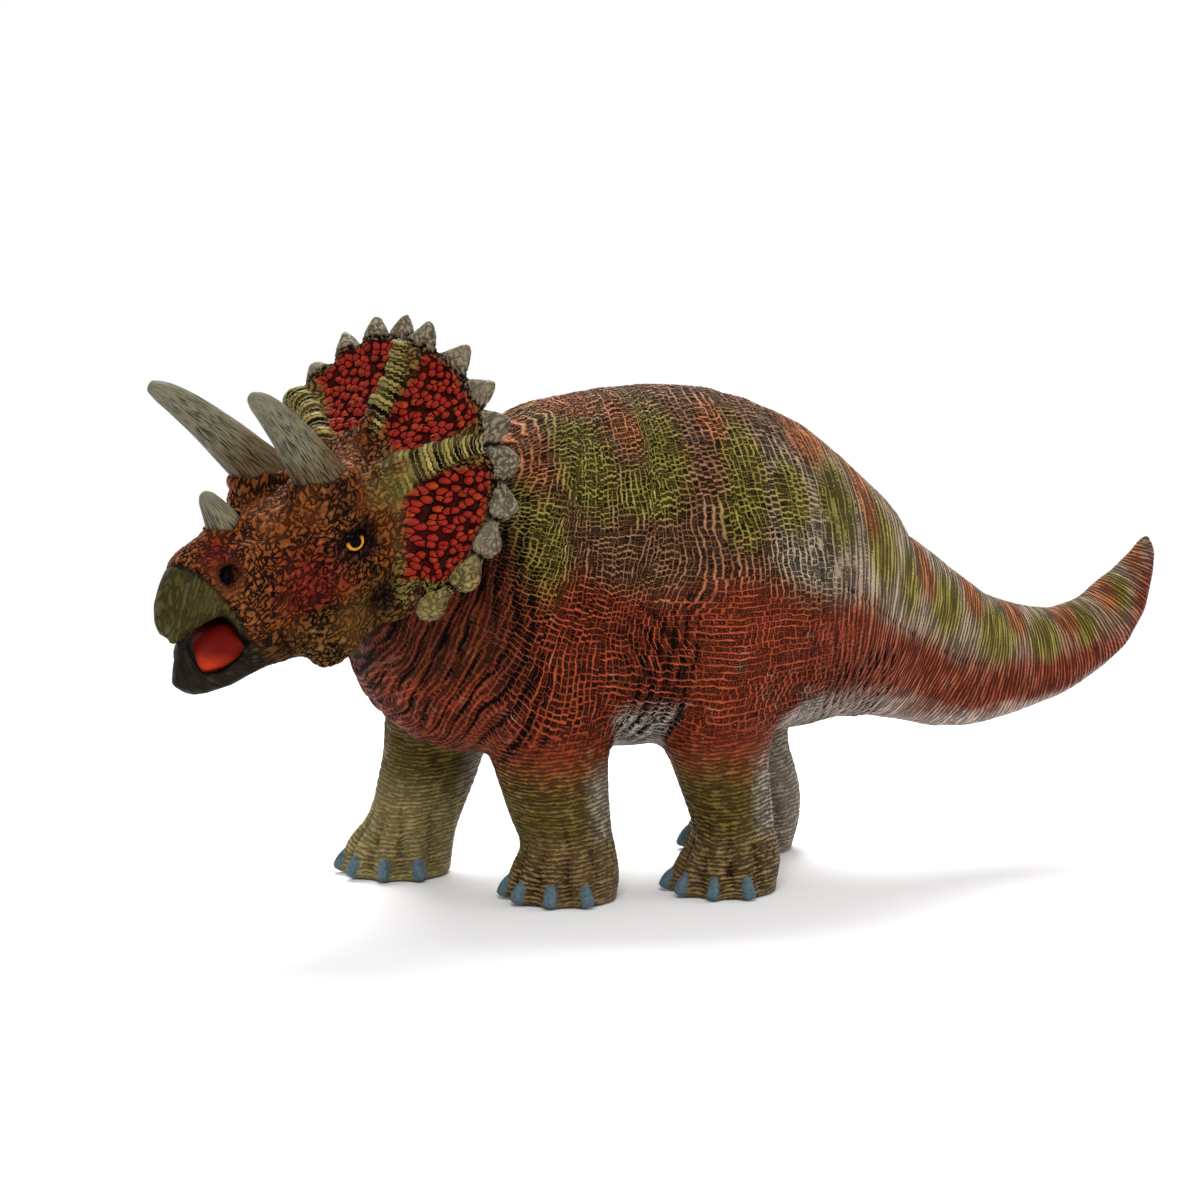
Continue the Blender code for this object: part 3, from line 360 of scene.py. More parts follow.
def sculpt_body():
    """Depth of the sculpted folds, and of the soft unevenness under them, in millimetres."""
    x, y, z = trunk.T
    neck = ramp(x, -19, -26) * ramp(z, 20, 27) * ramp(z, 70, 60)
    depth = 0.85 * neck * folds(neck_line, NECK_FOLD, 0.7) * (0.8 + 0.2 * noise(trunk, 6, 2.1))
    side = np.where(y < -5, -18.0, -25.0)
    ring = np.hypot(x - side, z - 33) + wobble * 0.6
    sector = np.arctan2(z - 33, x - side)
    arcs = ramp(ring, 9, 12) * ramp(ring, 22, 17) * ramp(sector, -0.9, -0.3) * ramp(sector, 1.2, 0.7)
    depth += 0.45 * arcs * folds(ring, 2.6, 0.8)
    thigh = np.where(y < -5, 0.0, 9.0)
    flank_line = x - thigh - 0.12 * (z - 45) + wobble * 0.6
    flank = ramp(flank_line, -9, -5) * ramp(flank_line, 4, 1) * ramp(z, 22, 28) * ramp(z, 52, 42)
    depth += 0.60 * flank * folds(flank_line, 2.0, 0.75)
    rump = ramp(x, 22, 30) * ramp(x, 46, 38) * ramp(z, 42, 34) * ramp(z, 20, 24)
    depth += 0.50 * rump * folds(spine_place + 0.4 * z + wobble, 1.9, 0.7)
    lateral = np.interp(x, (24, 40.6, 54.2, 70), (51.5, 40.7, 33.2, 29)) - z
    depth -= 0.18 * np.exp(-(lateral / 0.45) ** 2) * ramp(x, 24, 30) * ramp(x, 66, 56)
    rings = leg_share * ramp(z, 9, 13) * np.clip(0.5 + noise(trunk, 6.0, 4.7), 0, 1)
    depth += 0.20 * rings * folds(z + 0.8 * wobble + 1.2 * np.sin(leg_angle * 2), 1.5, 0.8)
    front = ramp(foot_angle, 128, 145) * ramp(foot_angle, 302, 285) * (leg_gap < 13)
    between_toes = ramp(toe_gap, 11, 18.5) * front * ramp(z, 15, 8) * ramp(foot_reach, 2.5, 6)
    depth -= 0.50 * between_toes
    knuckle = ramp(toe_gap, 15, 0) * front * ramp(z, 10, 6) * ramp(z, 2.6, 4.2)
    soft = 0.55 * knuckle + 0.28 * noise(trunk, 7.0, 9.1) + 0.12 * noise(trunk, 3.0, 3.3)
    soft += 0.85 * claw_share * ramp(toe_gap, 9, 2) * ramp(z, 4.2, 2.6)
    return depth * ramp(z, 0.3, 1.5), soft * ramp(z, 0.2, 1.0)


toe_gap = np.min([np.abs(foot_angle - angle) for angle in TOE_ANGLES], axis=0)
foot_reach = np.hypot(*foot_away.T)
claw_width = np.interp(height, (0, 0.8, 2.4, 3.8), (4.5, 7.0, 7.5, 3.0))
claw_share = ramp(toe_gap, claw_width + 1.0, claw_width - 1.0) * ramp(foot_reach, 5.2, 5.8)
claw_share *= ramp(height, 4.0, 3.5) * (foot_reach < 12)
body_normals = vertex_normals(body_points, body_quads)
body_depth, body_swell = sculpt_body()
body_points = body_points + body_normals * ((body_depth + body_swell) * MM - SWELL)[:, None]
body_points[:, 2] = np.maximum(body_points[:, 2], cad_low[2])
print("body folds from", round(body_depth.min(), 2), "to", round(body_depth.max(), 2), "mm")

# %% [markdown]
# ## The frill
# The frill is a dished sheet between its root on the skull and its rim.  Red fields of round scales lie
# between three ribbed ridges, and nineteen pointed scales stand on the rim.

# %% Coordinates on the frill
RIM = np.array((
    (-13.21, 0, 16.05), (-12.48, 6.16, 15.8), (-11.6, 14.24, 12.78), (-8.5, 20.85, 8.7),
    (-4.94, 25.71, 4.62), (-2.34, 27.8, -0.71), (1.61, 28.25, -6.39), (7.02, 27.69, -10.12),
    (12.48, 26.16, -13.24), (17.42, 20.91, -16.26)))
ROOT = np.array((
    (2.6, 0, 2.13), (3.12, 1.7, 2.31), (4.16, 3.39, 2.13), (5.72, 5.09, 1.78), (7.28, 6.78, 0.71),
    (8.84, 8.19, -1.42), (10.4, 9.04, -4.26), (11.96, 9.61, -7.81), (13.0, 9.61, -11.36),
    (14.04, 8.48, -14.91)))
FRILL_DISH = 2.6


def both_sides(half):
    return np.vstack([half[:0:-1] * (1, -1, 1), half])


rim = smooth_curve(both_sides(RIM), 12)
root = smooth_curve(both_sides(ROOT), 12)
reaches = np.linspace(0, 1, 31)
sheet = root[:, None] + (rim - root)[:, None] * reaches[None, :, None]
sheet[:, :, 0] -= np.sin(np.pi * reaches)[None] * FRILL_DISH
frill_tree = KDTree(sheet.shape[0] * sheet.shape[1])
for number, point in enumerate(sheet.reshape(-1, 3)):
    frill_tree.insert(point, number)
frill_tree.balance()
sheet_normals = np.cross(np.gradient(sheet, axis=0), np.gradient(sheet, axis=1))
sheet_normals *= np.sign(sheet_normals[:, :, :1]) / np.linalg.norm(sheet_normals, axis=2)[:, :, None]
skull = in_head(head_points)
near_frill = (skull[:, 0] < 23) & ((np.abs(skull[:, 1]) > 9) | (skull[:, 2] > 0) | (skull[:, 0] < 6))
station = np.full(len(skull), 9.0)
reach = np.zeros(len(skull))
frill_gap = np.full(len(skull), 99.0)
frill_front = np.zeros(len(skull))
for index in np.nonzero(near_frill)[0]:
    _, number, gap = frill_tree.find(skull[index])
    station[index] = (number // len(reaches)) / 12
    reach[index] = (number % len(reaches)) / (len(reaches) - 1)
    frill_gap[index] = gap
    frill_front[index] = (skull[index] - sheet.reshape(-1, 3)[number]) @ sheet_normals.reshape(-1, 3)[number]
RIDGE_STATIONS = (5.3, 9.7, 13.5)
FIELD_STATIONS = ((0.9, 4.5), (6.0, 9.0), (10.4, 12.8), (14.2, 17.6))
offset = np.abs(station - 9)
sheet_lengths = np.linalg.norm(both_sides(RIM) - both_sides(ROOT), axis=1)
rim_length = np.interp(station, np.arange(19), sheet_lengths)
above_sheet = 2.4 * ramp(reach, 0.12, 0.35)
on_frill = ramp(frill_gap, 4.2 + above_sheet, 2.6 + above_sheet) * ramp(reach, 0.0, 0.12)
print("frill holds", int((on_frill > 0.5).sum()), "vertices")

# %% Sculpt the head
head_normals = vertex_normals(head_points, head_quads)
facing = head_normals @ HEAD_AXES
front_side = np.maximum(ramp(frill_front, -0.5, 0.6), ramp(facing[:, 0], -0.1, 0.2))
station_width = (3 + 22 * reach) / 4.2
ridge_gap = np.min([np.abs(station - place) for place in RIDGE_STATIONS], axis=0) * station_width
ridge = ramp(ridge_gap, 1.65, 1.0) * on_frill * front_side * ramp(reach, 0.90, 0.82)
inside = [np.minimum(station - first, last - station) for first, last in FIELD_STATIONS]
field = on_frill * front_side * ramp(np.max(inside, axis=0) * station_width, -0.9, 0.3) * (1 - ridge)
field *= ramp(reach, 0.05, 0.18) * ramp(reach, 0.84, 0.70)
rim_part = on_frill * ramp(reach, 0.80, 0.86)
forward, left, up = skull.T
none = np.zeros(len(skull))
side_left = np.abs(left)


def round_spot(place, size):
    """1 at a place on each side of the head and 0 at size away from it."""
    gap = np.sqrt((forward - place[0]) ** 2 + (side_left - place[1]) ** 2 + (up - place[2]) ** 2)
    return ramp(gap, size, 0)


BEAK_SEAM = ((9.1, 44.9), (5.5, 43.7), (0.8, 42.6), (-4.0, 41.6), (-8, 41.0))
beak_line = np.interp(up, *np.array(BEAK_SEAM[::-1]).T)
beak = ramp(forward, beak_line - 0.25, beak_line + 0.25) * ramp(up, -9.5, -8.5)
rim_angle = (station + 0.5) % 1 - 0.5
nearest_faces = [head_tree.find_nearest(Vector(point))[2] for point in head_points]
jaw_of = np.array([head_owners[face] == "lower_jaw" for face in nearest_faces])
lip = ramp(np.abs(forward - beak_line), 0.7, 0.1) * ramp(up, -8, -6) * (~jaw_of)


def sculpt_head():
    """Depth of folds and grooves, and of the soft forms under them, in millimetres."""
    wobble = noise(skull, 5.0) * 0.8 + noise(skull, 2.4, 4.4) * 0.3
    bars = folds(reach * rim_length + RUNG / 2, RUNG, 0.8)
    depth = 0.28 * ridge * bars - 0.35 * lip
    depth -= 0.55 * rim_part * ramp(np.abs(np.abs(rim_angle) - 0.5), 0.12, 0.02)
    depth -= 0.42 * on_frill * np.exp(-((reach - 0.82) / 0.035) ** 2)
    from_eye = np.hypot(forward - 20, up + 4)
    under_eye = ramp(from_eye, 8, 4.5) * ramp(from_eye, 2.6, 3.4)
    depth += 0.28 * under_eye * folds(np.hypot(forward - 19, up + 3.4) + wobble * 0.3, 1.3, 0.8)
    cheek = ramp(forward, 24, 28) * ramp(forward, 41, 38) * ramp(up, 2, -2) * (1 - beak)
    depth += 0.24 * cheek * folds(forward + 0.35 * up + wobble, 1.6, 0.7)
    depth -= 1.2 * ramp(nostril_gap, 1.6, 0.3)
    soft = 0.22 * noise(skull, 3.2, 1.7) * (1 - rim_part) * (1 - beak) + 0.45 * ridge - 0.30 * field
    soft += 0.40 * np.exp(-((nostril_gap - 2.6) / 0.7) ** 2)
    above_eye = ramp(up, -3.6, -1.6)
    soft += (0.45 + 0.5 * above_eye) * np.exp(-((eye_gap - 2.9) / 0.6) ** 2) * ramp(side_left, 7, 9)
    soft += 0.9 * above_eye * np.exp(-((eye_gap - 4.7) / 1.0) ** 2) * ramp(side_left, 6, 8)
    ragged = 1 + 0.35 * noise(skull, 1.6, 6.2)
    soft += 1.5 * np.exp(-((horn_gap - 4.4) / 0.9) ** 2) * ramp(up, 1, 4) * ragged
    soft -= 1.0 * round_spot((18.0, 10.5, -14.5), 3.2)
    return depth, soft


RUNG = 0.95
HORN_ROOT = np.array((16.4, 5.7, 1.0))
HORN_RISE = np.array((0.282, 0.208, 0.937))
nostril_gap = np.sqrt((forward - 40.1) ** 2 + (side_left - 6.0) ** 2 + (up - 3.1) ** 2)
eye_gap = np.sqrt((forward - 18.9) ** 2 + (side_left - 9.2) ** 2 + (up + 3.45) ** 2)
from_root = np.stack([forward, side_left, up], axis=1) - HORN_ROOT
horn_gap = np.linalg.norm(from_root - (from_root @ HORN_RISE)[:, None] * HORN_RISE, axis=1)
head_depth, head_swell = sculpt_head()
head_points = head_points + head_normals * ((head_depth + head_swell) * MM - SWELL)[:, None]
mouth_gap = np.sqrt(((forward - 41.6) / 8.2) ** 2 + (left / 5.4) ** 2 + ((up + 6.75) / 5.2) ** 2)
thinned = ramp(mouth_gap, 1.15, 0.9) * ramp(forward, 42, 46) * jaw_of
outward = np.stack([none + 1.0, 1.2 * np.clip(left / 2, -1, 1), none], axis=1) @ HEAD_AXES.T
head_points += thinned[:, None] * outward * MM
jaw_tip = ramp(forward, 45.5, 49) * ramp(up, -9, -5) * ramp(mouth_gap, 0.85, 1.08) * jaw_of
head_points += jaw_tip[:, None] * (HEAD_AXES @ (-1.7, 0, 0.8)) * MM
print("head relief from", round(head_depth.min(), 2), "to", round(head_depth.max(), 2), "mm")

# %% [markdown]
# ## Nodes
# One function adds every node of the materials and of the relief.  Its kind is Blender's name for the
# node, and the word after a dot is the node's main setting, as in Math.MULTIPLY.  Inputs come in the
# node's own order, so a map range takes the value, two limits it comes from and two it goes to.  A node
# stands for its first output, #7A3524 for a colour, and any other text for the mesh attribute of that name.

# %% Add a node
MAIN_SETTING = {"Math": "operation", "VectorMath": "operation", "Mix": "data_type",
                "MapRange": "interpolation_type", "TexWhiteNoise": "noise_dimensions"}


def linear(code):
    """A linear colour from an sRGB hex value such as #7A3524."""
    values = [int(code[start:start + 2], 16) / 255 for start in (1, 3, 5)]
    return [v / 12.92 if v <= 0.04045 else ((v + 0.055) / 1.055) ** 2.4 for v in values] + [1.0]


def add_node(tree, kind, *inputs, **settings):
    """Add one node, apply its settings and fill its inputs."""
    kind, _, setting = kind.partition(".")
    node = tree.nodes.new(kind if "Node" in kind else "ShaderNode" + kind)
    if setting:
        setattr(node, MAIN_SETTING[kind], setting)
    for name, value in settings.items():
        setattr(node, name, value)
    fill(node, inputs[0] if inputs and isinstance(inputs[0], dict) else inputs)
    return node


def fill(node, inputs):
    """Set or link a node's inputs, from a dict of names or in their own order."""
    tree = node.id_data
    sockets = [entry for entry in node.inputs if entry.enabled]
    if isinstance(inputs, dict):
        sockets = [next(entry for entry in sockets if entry.name == name) for name in inputs]
        inputs = inputs.values()
    for socket, value in zip(sockets, inputs):
        if isinstance(value, str) and value.startswith("#"):
            value = linear(value)
        elif isinstance(value, str) and socket.type != "STRING":
            vector = socket.type == "VECTOR"
            if tree.type == "SHADER":
                node = add_node(tree, "Attribute", attribute_name=value)
                value = node.outputs["Vector" if vector else "Fac"]
            else:
                kind = "FLOAT_VECTOR" if vector else "FLOAT"
                value = add_node(tree, "GeometryNodeInputNamedAttribute", {"Name": value}, data_type=kind)
        if isinstance(value, bpy.types.Node):
            value = next(entry for entry in value.outputs if entry.enabled)
        if isinstance(value, bpy.types.NodeSocket):
            tree.links.new(value, socket)
        else:
            socket.default_value = value


def new_paint(name):
    """A material, the function that adds nodes to it, and its shader."""
    material = bpy.data.materials.new(name)
    material.use_nodes = True
    tree = material.node_tree
    return material, partial(add_node, tree), tree.nodes["Principled BSDF"]


# %% [markdown]
# ## Wrinkle patterns
# The flank is cross-hatched by two families of wavy raised lines, with a small dark pit in each mesh.
# Long ridges ring neck, tail and legs, winding grooves cover the face, and the frill has round scales and
# ribbed ridges.  Each pattern gives the distance from its lines, a random number and the height.  The
# same recipe moves the vertices in a geometry tree and drives paint and bump in the materials.

# %% Patterns of lines and cells
SCALE_CELL = 1.55


def bend(add, lines, scale, amount):
    """Line coordinates pushed about by noise, amount in the coordinates' own unit."""
    waves = add("TexNoise", lines, scale, 1.0)
    centred = add("VectorMath.SUBTRACT", waves.outputs["Color"], (0.5, 0.5, 0.5))
    return add("VectorMath.MULTIPLY_ADD", centred, (amount, amount, 0), lines)


def hatch(add, lines):
    """Two families of wavy raised lines, one per unit, and faint lines halfway between them.

    The rungs of one column don't meet those of the next; low on the flank the rows are shifted instead."""
    waved = bend(add, bend(add, bend(add, lines, 0.09, 3.2), 0.6, 0.75), 1.9, 0.32)
    parts = add("SeparateXYZ", waved)
    shifted = []
    for axis, share in enumerate(("floor_share", add("Math.SUBTRACT", 1.0, "floor_share"))):
        number = add("Math.FLOOR", parts.outputs[1 - axis])
        shift = add("Math.MULTIPLY", add("TexWhiteNoise.1D", number), share)
        shifted.append(add("Math.ADD", parts.outputs[axis], shift))
    lean = add("TexNoise", lines, 0.10, 1.0)
    gaps = []
    for line, low, high, along in zip(shifted, (0.4, 0.6), (0.6, 0.4), ((0.8, 0.2, 0), (0.2, 0.8, 0))):
        weaker = add("MapRange", lean, low, high, -0.02, 0.06)
        gap = add("Math.PINGPONG", line, 0.5)
        patch = add("TexNoise", add("VectorMath.MULTIPLY", waved, along), 1.0, 1.0)
        faint = add("Math.ADD", add("MapRange", patch, 0.52, 0.36, 0.0, 0.16), weaker)
        middle = add("MapRange", patch, 0.46, 0.62, 0.66, 1.0)
        gaps.append(add("Math.ADD", gap, faint))
        gaps.append(add("Math.SUBTRACT", middle, gap))
    edge = gaps[0]
    for gap in (gaps[2], gaps[1], gaps[3]):
        edge = add("Math.SMOOTH_MIN", edge, gap, 0.06)
    chance = add("TexWhiteNoise.2D", add("VectorMath.FLOOR", add("CombineXYZ", *shifted)))
    return edge, chance, add("MapRange.SMOOTHSTEP", edge, 0.36, 0.03)


def pebbles(add, lines):
    """Round domed scales, 0.1 on a scale and 0.5 in the gaps between them."""
    inputs = {"Vector": bend(add, lines, 0.45, 0.8), "Scale": 1 / SCALE_CELL, "Randomness": 0.9}
    border, cells = [add("TexVoronoi", inputs, voronoi_dimensions="2D", feature=feature)
                     for feature in ("DISTANCE_TO_EDGE", "F1")]
    outside = add("MapRange", cells.outputs["Distance"], 0.40, 0.66, 0.1, 0.5)
    crack = add("MapRange", border.outputs["Distance"], 0.0, 0.09, 0.42, 0.1)
    groove = add("Math.MAXIMUM", outside, crack)
    near = add("MapRange.SMOOTHSTEP", groove, 0.5, 0.15)
    dome = add("MapRange", cells.outputs["Distance"], 0.75, 0.0, 0.4)
    return groove, add("SeparateXYZ", cells.outputs["Color"]), add("Math.MULTIPLY", near, dome)


def strands(add, lines):
    """Long ridges side by side, one per unit, of uneven width."""
    waved = bend(add, bend(add, lines, 0.3, 1.2), 1.3, 0.65)
    gap = add("Math.PINGPONG", add("SeparateXYZ", waved), 0.5)
    patch = add("TexNoise", add("VectorMath.MULTIPLY", waved, (0.9, 0.6, 0.6)), 1.0, 1.5)
    uneven = add("MapRange", patch, 0.3, 0.7, 0.2, -0.2)
    edge = add("Math.MULTIPLY_ADD", gap, 0.8, uneven, use_clamp=True)
    chance = add("SeparateXYZ", patch.outputs["Color"]).outputs["Y"]
    return edge, chance, add("MapRange.SMOOTHSTEP", edge, 0.40, 0.04)


def ripples(add, lines):
    """Winding grooves along the level lines of a noise, between bumps about one unit wide."""
    waves = add("TexNoise", bend(add, lines, 0.35, 1.2), 1.0, 1.5)
    level = add("Math.ABSOLUTE", add("Math.SUBTRACT", waves, 0.5))
    edge = add("Math.DIVIDE", 0.5, add("Math.MULTIPLY_ADD", level, 10.0, 1.0))
    edge = add("Math.SUBTRACT", edge, 0.10)
    other = add("SeparateXYZ", waves.outputs["Color"])
    chance = add("MapRange", other.outputs["Y"], 0.38, 0.58)
    return edge, chance, add("MapRange.SMOOTHSTEP", edge, 0.40, 0.02)


def rungs(add, lines):
    """Short bars across a ridge, 0 on a bar, with a groove between two that is only half a pit."""
    waved = bend(add, lines, 0.4, 0.2)
    gap = add("Math.PINGPONG", add("SeparateXYZ", waved), 0.5)
    edge = add("MapRange", gap, 0.07, 0.30, 0.0, 0.26)
    chance = add("TexWhiteNoise.2D", add("VectorMath.FLOOR", waved))
    return edge, chance, add("MapRange.SMOOTHSTEP", edge, 0.40, 0.05)


def blend(add, share, first, second):
    """Each value of a pattern from the first to the second as share goes from 0 to 1."""
    return [add("Mix", share, a, b) for a, b in zip(first, second)]


def body_pattern(add):
    """Cross-hatch on the flank, long ridges round neck, tail and legs."""
    trunk_part = blend(add, "ring_share", hatch(add, "grid_lines"), strands(add, "ring_lines"))
    return blend(add, "leg_share", trunk_part, strands(add, "leg_lines"))


def head_pattern(add):
    """Winding grooves on the face, round scales in the frill's red fields, rungs on its ridges."""
    scaled = blend(add, "frill_field", ripples(add, "face_lines"), pebbles(add, "scale_lines"))
    return blend(add, "ridge_share", scaled, rungs(add, "bar_lines"))


# %% Raise the pattern on the mesh


def relief_tree(name, pattern, raise_line, sink_pit):
    """A geometry tree that moves vertices along their normals, in millimetres."""
    tree = bpy.data.node_groups.new(name, "GeometryNodeTree")
    for way in ("INPUT", "OUTPUT"):
        tree.interface.new_socket("Geometry", in_out=way, socket_type="NodeSocketGeometry")
    add = partial(add_node, tree)
    _, chance, rise = pattern(add)
    strength = add("MapRange", rise, 0.0, 1.0, -sink_pit, raise_line)
    for factor in (add("MapRange", chance, 0.0, 1.0, 0.6, 1.2), "raise_share", "relief", MM):
        strength = add("Math.MULTIPLY", strength, factor)
    move = add("VectorMath.SCALE", add("GeometryNodeInputNormal"), strength)
    moved = add("GeometryNodeSetPosition", {"Geometry": add("NodeGroupInput"), "Offset": move})
    add("NodeGroupOutput", moved)
    return tree


# %% Build a mesh with attributes


def build_mesh(name, corners, quads, attributes):
    mesh = bpy.data.meshes.new(name)
    mesh.vertices.add(len(corners))
    mesh.vertices.foreach_set("co", corners.astype(np.float32).ravel())
    mesh.loops.add(quads.size)
    mesh.loops.foreach_set("vertex_index", quads.astype(np.int32).ravel())
    mesh.polygons.add(len(quads))
    mesh.polygons.foreach_set("loop_start", np.arange(0, quads.size, 4, dtype=np.int32))
    mesh.update(calc_edges=True)
    mesh.shade_smooth()
    for label, values in attributes.items():
        vector = values.ndim == 2
        attribute = mesh.attributes.new(label, "FLOAT_VECTOR" if vector else "FLOAT", "POINT")
        attribute.data.foreach_set("vector" if vector else "value", values.astype(np.float32).ravel())
    return mesh


def raised(name, corners, quads, attributes, tree):
    """Corners of the mesh after its relief, and the attributes as they were."""
    mesh = build_mesh(name, corners, quads, attributes)
    thing = bpy.data.objects.new(name, mesh)
    bpy.context.scene.collection.objects.link(thing)
    relief = thing.modifiers.new("relief", "NODES")
    relief.node_group = tree
    graph = bpy.context.evaluated_depsgraph_get()
    shaped = bpy.data.meshes.new_from_object(thing.evaluated_get(graph))
    result = np.empty(len(corners) * 3, np.float32)
    shaped.vertices.foreach_get("co", result)
    bpy.data.objects.remove(thing)
    bpy.data.meshes.remove(shaped)
    bpy.data.meshes.remove(mesh)
    return result.reshape(-1, 3).astype(float)


# %% [markdown]
# ## Where each paint goes
# The painter sprayed a rust coat low on the body, olive patches and orange saddles along the back,
# olive shins and tan feet.  Each coat is a soft mask on the skin, with its edge broken up in the
# material.

# %% Coats of the body
OLIVE_PATCHES = (
    (-12, 69, 4.5, 8), (-22, 60, 5, 10), (0, 71, 4, 7), (-4, 65, 6, 4), (13, 68, 3.6, 8), (11, 61, 4, 5),
    (20, 63, 3.5, 6), (29, 61, 4, 7), (38, 54, 3.6, 7), (44, 47, 2.6, 5),
    (52, 42, 3.4, 5), (62, 36.5, 4, 4.5),
    (72, 35, 3.2, 3.5), (80, 36.5, 2.4, 3.5), (87, 41, 2.2, 3.5))
SADDLES = (
    (-20, 71, 3.5, 6), (-11, 77.5, 4, 1.8), (-4.2, 74.5, 2.4, 3.8), (10, 74.8, 2.4, 2.8),
    (26.8, 71, 3.8, 4), (36.5, 61, 2.2, 6),
    (48.5, 48.5, 2.0, 5), (58.5, 43, 2.0, 4), (67, 39, 1.9, 3.6), (77, 37.5, 2.1, 3.4),
    (85, 41, 2, 3.2), (91, 48, 2, 4))


def patches(table):
    """1 in the middle of any patch of a table, 0 outside them all."""
    wide = np.full(len(trunk), 9.0)
    for x, z, half_x, half_z in table:
        wide = np.minimum(wide, np.hypot((trunk[:, 0] - x) / half_x, (trunk[:, 2] - z) / half_z))
    return ramp(wide, 1.5, 0.4)


along = trunk[:, 0]
rust_top = np.interp(along, (-46, -30, -21, -7, 9, 25, 40, 54, 66, 78, 88, 95),
                     (78, 66, 53, 48.5, 51, 46.5, 38.5, 32.5, 30.5, 31, 36, 45)) + 3.0 * noise(trunk, 11.0, 2.9)
crease = np.interp(trunk[:, 0], (14, 24, 40.6, 54.2, 70, 90), (54, 49.5, 40.7, 33.2, 29, 34))
far_front = (trunk[:, 0] < -10) * ramp(trunk[:, 1], -2, 2)
far_hind = (trunk[:, 0] > 5) * ramp(trunk[:, 1], -8, -5) * ramp(trunk[:, 0], 17, 20)
rear_shade = 0.15 * np.exp(-((trunk[:, 0] - 22) / 7) ** 2 - ((height - 31) / 7) ** 2) * (1 - leg_share)
body_coats = {
    # The pale band is a grey-beige coat above the crease, widened up the hip and back as a painted highlight.
    "pale_band": ramp(height - crease, -4.0, 0.5) * ramp(height - crease, 26, 14) * ramp(along, 12, 20),
    "olive_patches": patches(OLIVE_PATCHES),
    "orange_saddles": patches(SADDLES),
    "rust_coat": ramp(height - rust_top, 6.0, -4.0),
    "pale_underside": (ramp(body_normals[:, 2], -0.45, -0.85) * ramp(height, 14, 18)
                       * ramp(along, -16, -8) * (1 - 0.4 * tail_share)),
    "olive_shins": np.maximum(ramp(height, 27, 14), far_front * ramp(height, 38, 33)) * ramp(leg_gap, 15, 12),
    "taupe_calves": (ramp(height, 26, 16) * ramp(leg_gap, 15, 12)
                     * np.maximum(ramp(body_normals[:, 0], 0.0, 0.6), far_hind)),
    "tan_feet": ramp(height, 12, 7) * (1 - far_hind),
    "ochre_far_leg": far_front * ramp(height, 20, 9),
    "dark_neck": ramp(along, -20, -28) * ramp(height, 32, 40) * ramp(height, 66, 56),
    "claws": claw_share,
    # Folds get darker by their sculpted depth, a wash that is also painted shade, and rear_shade adds a painted
    # shade behind the thigh.
    "deep_fold": (np.clip(-body_depth * 1.7 - 0.08 - 0.35 * neck_share, 0, 0.85)
                  * (1 - 0.65 * ramp(height, 16, 10)) + rear_shade),
}


def line_numbers(value, places, spacings):
    """How many lines lie before a value when their spacing changes along the way."""
    fine = np.linspace(min(places), max(places), 400)
    counts = np.concatenate([[0], np.cumsum(np.diff(fine) / np.interp(fine[1:], places, spacings))])
    return np.interp(value, fine, counts)


zero = np.zeros(len(trunk))
shoulder = np.where(trunk[:, 1] < -5, -18.0, -25.0)
behind = trunk[:, 0] - shoulder
ring = np.hypot(behind, height - 33)
sector = np.arctan2(height - 33, behind)
arc_share = ramp(ring, 8, 13) * ramp(ring, 30, 18) * ramp(sector, -0.9, -0.4) * ramp(sector, 1.25, 0.5)
arc_place = spine_place + (ring - behind) * arc_share
round_body = np.abs(spine_angle) * TRUNK_RADIUS
round_lines = line_numbers(round_body, (0, 20, 34, 50, 82), (0.76, 0.80, 0.92, 1.2, 1.3))
round_lines *= np.sign(spine_angle)
SPINE_SPACINGS = ((0, 30, 48, 62, 70, 84, 100, 200), (1.2, 1.05, 0.95, 1.15, 0.95, 0.75, 0.60, 0.60))
spine_lines = line_numbers(arc_place, *SPINE_SPACINGS)
spine_lines = spine_lines + 0.35 * ramp(height, 52, 74) * (height - 52) / 4
tail_lines = np.stack([spine_lines, spine_angle * np.clip(spine_reach, 3, 14) / 4.0, zero], axis=1)
across = (trunk[:, :2] - leg_middle) / np.interp(height, (6, 16), (0.8, 1.1))[:, None]
leg_lines = np.concatenate([(height / 0.68 + 0.9 * np.sin(leg_angle * 2))[:, None], across], axis=1)
neck_lines = np.stack([neck_line / 0.85, height / 3.0, trunk[:, 1] / 3.0], axis=1)
leg_calm = leg_share * (0.40 + 0.15 * far_front - 0.3 * noise(trunk, 8.0, 6.6))
on_rust = ramp(height - rust_top, 3.0, -3.0) * (1 - tail_share)
body_lines = {
    "grid_lines": np.stack([spine_lines, round_lines, zero], axis=1),
    "ring_lines": np.where((trunk[:, 0] < 0)[:, None], neck_lines, tail_lines),
    "leg_lines": leg_lines,
    "ring_share": np.maximum(0.85 * tail_share, 0.5 * neck_share),
    "leg_share": 0.8 * leg_share,
    "relief": ramp(height, 0.4, 2.5) * (1 - 0.92 * claw_share),
    "raise_share": 1 - 0.7 * ring_share,
    "floor_share": ramp(height - rust_top, 4.0, -2.0) * ramp(trunk[:, 0], -12, -4) * (1 - ring_share),
    "contrast": ((1 - 0.15 * neck_share) * (1 - leg_calm) * (1 - 0.4 * body_coats["pale_underside"])
                 * (1 - 0.2 * tail_share) * (1 - claw_share)),
    # How much of the pale brush colour goes into the dry brush, which is also painted highlight.
    "brush_share": 0.30 - 0.24 * np.maximum(on_rust, neck_share),
}
body_attributes = {**body_coats, **body_lines}
body_relief = relief_tree("body_relief", body_pattern, 0.12, 0.16)
body_points = raised("body_raised", body_points, body_quads, body_attributes, body_relief)

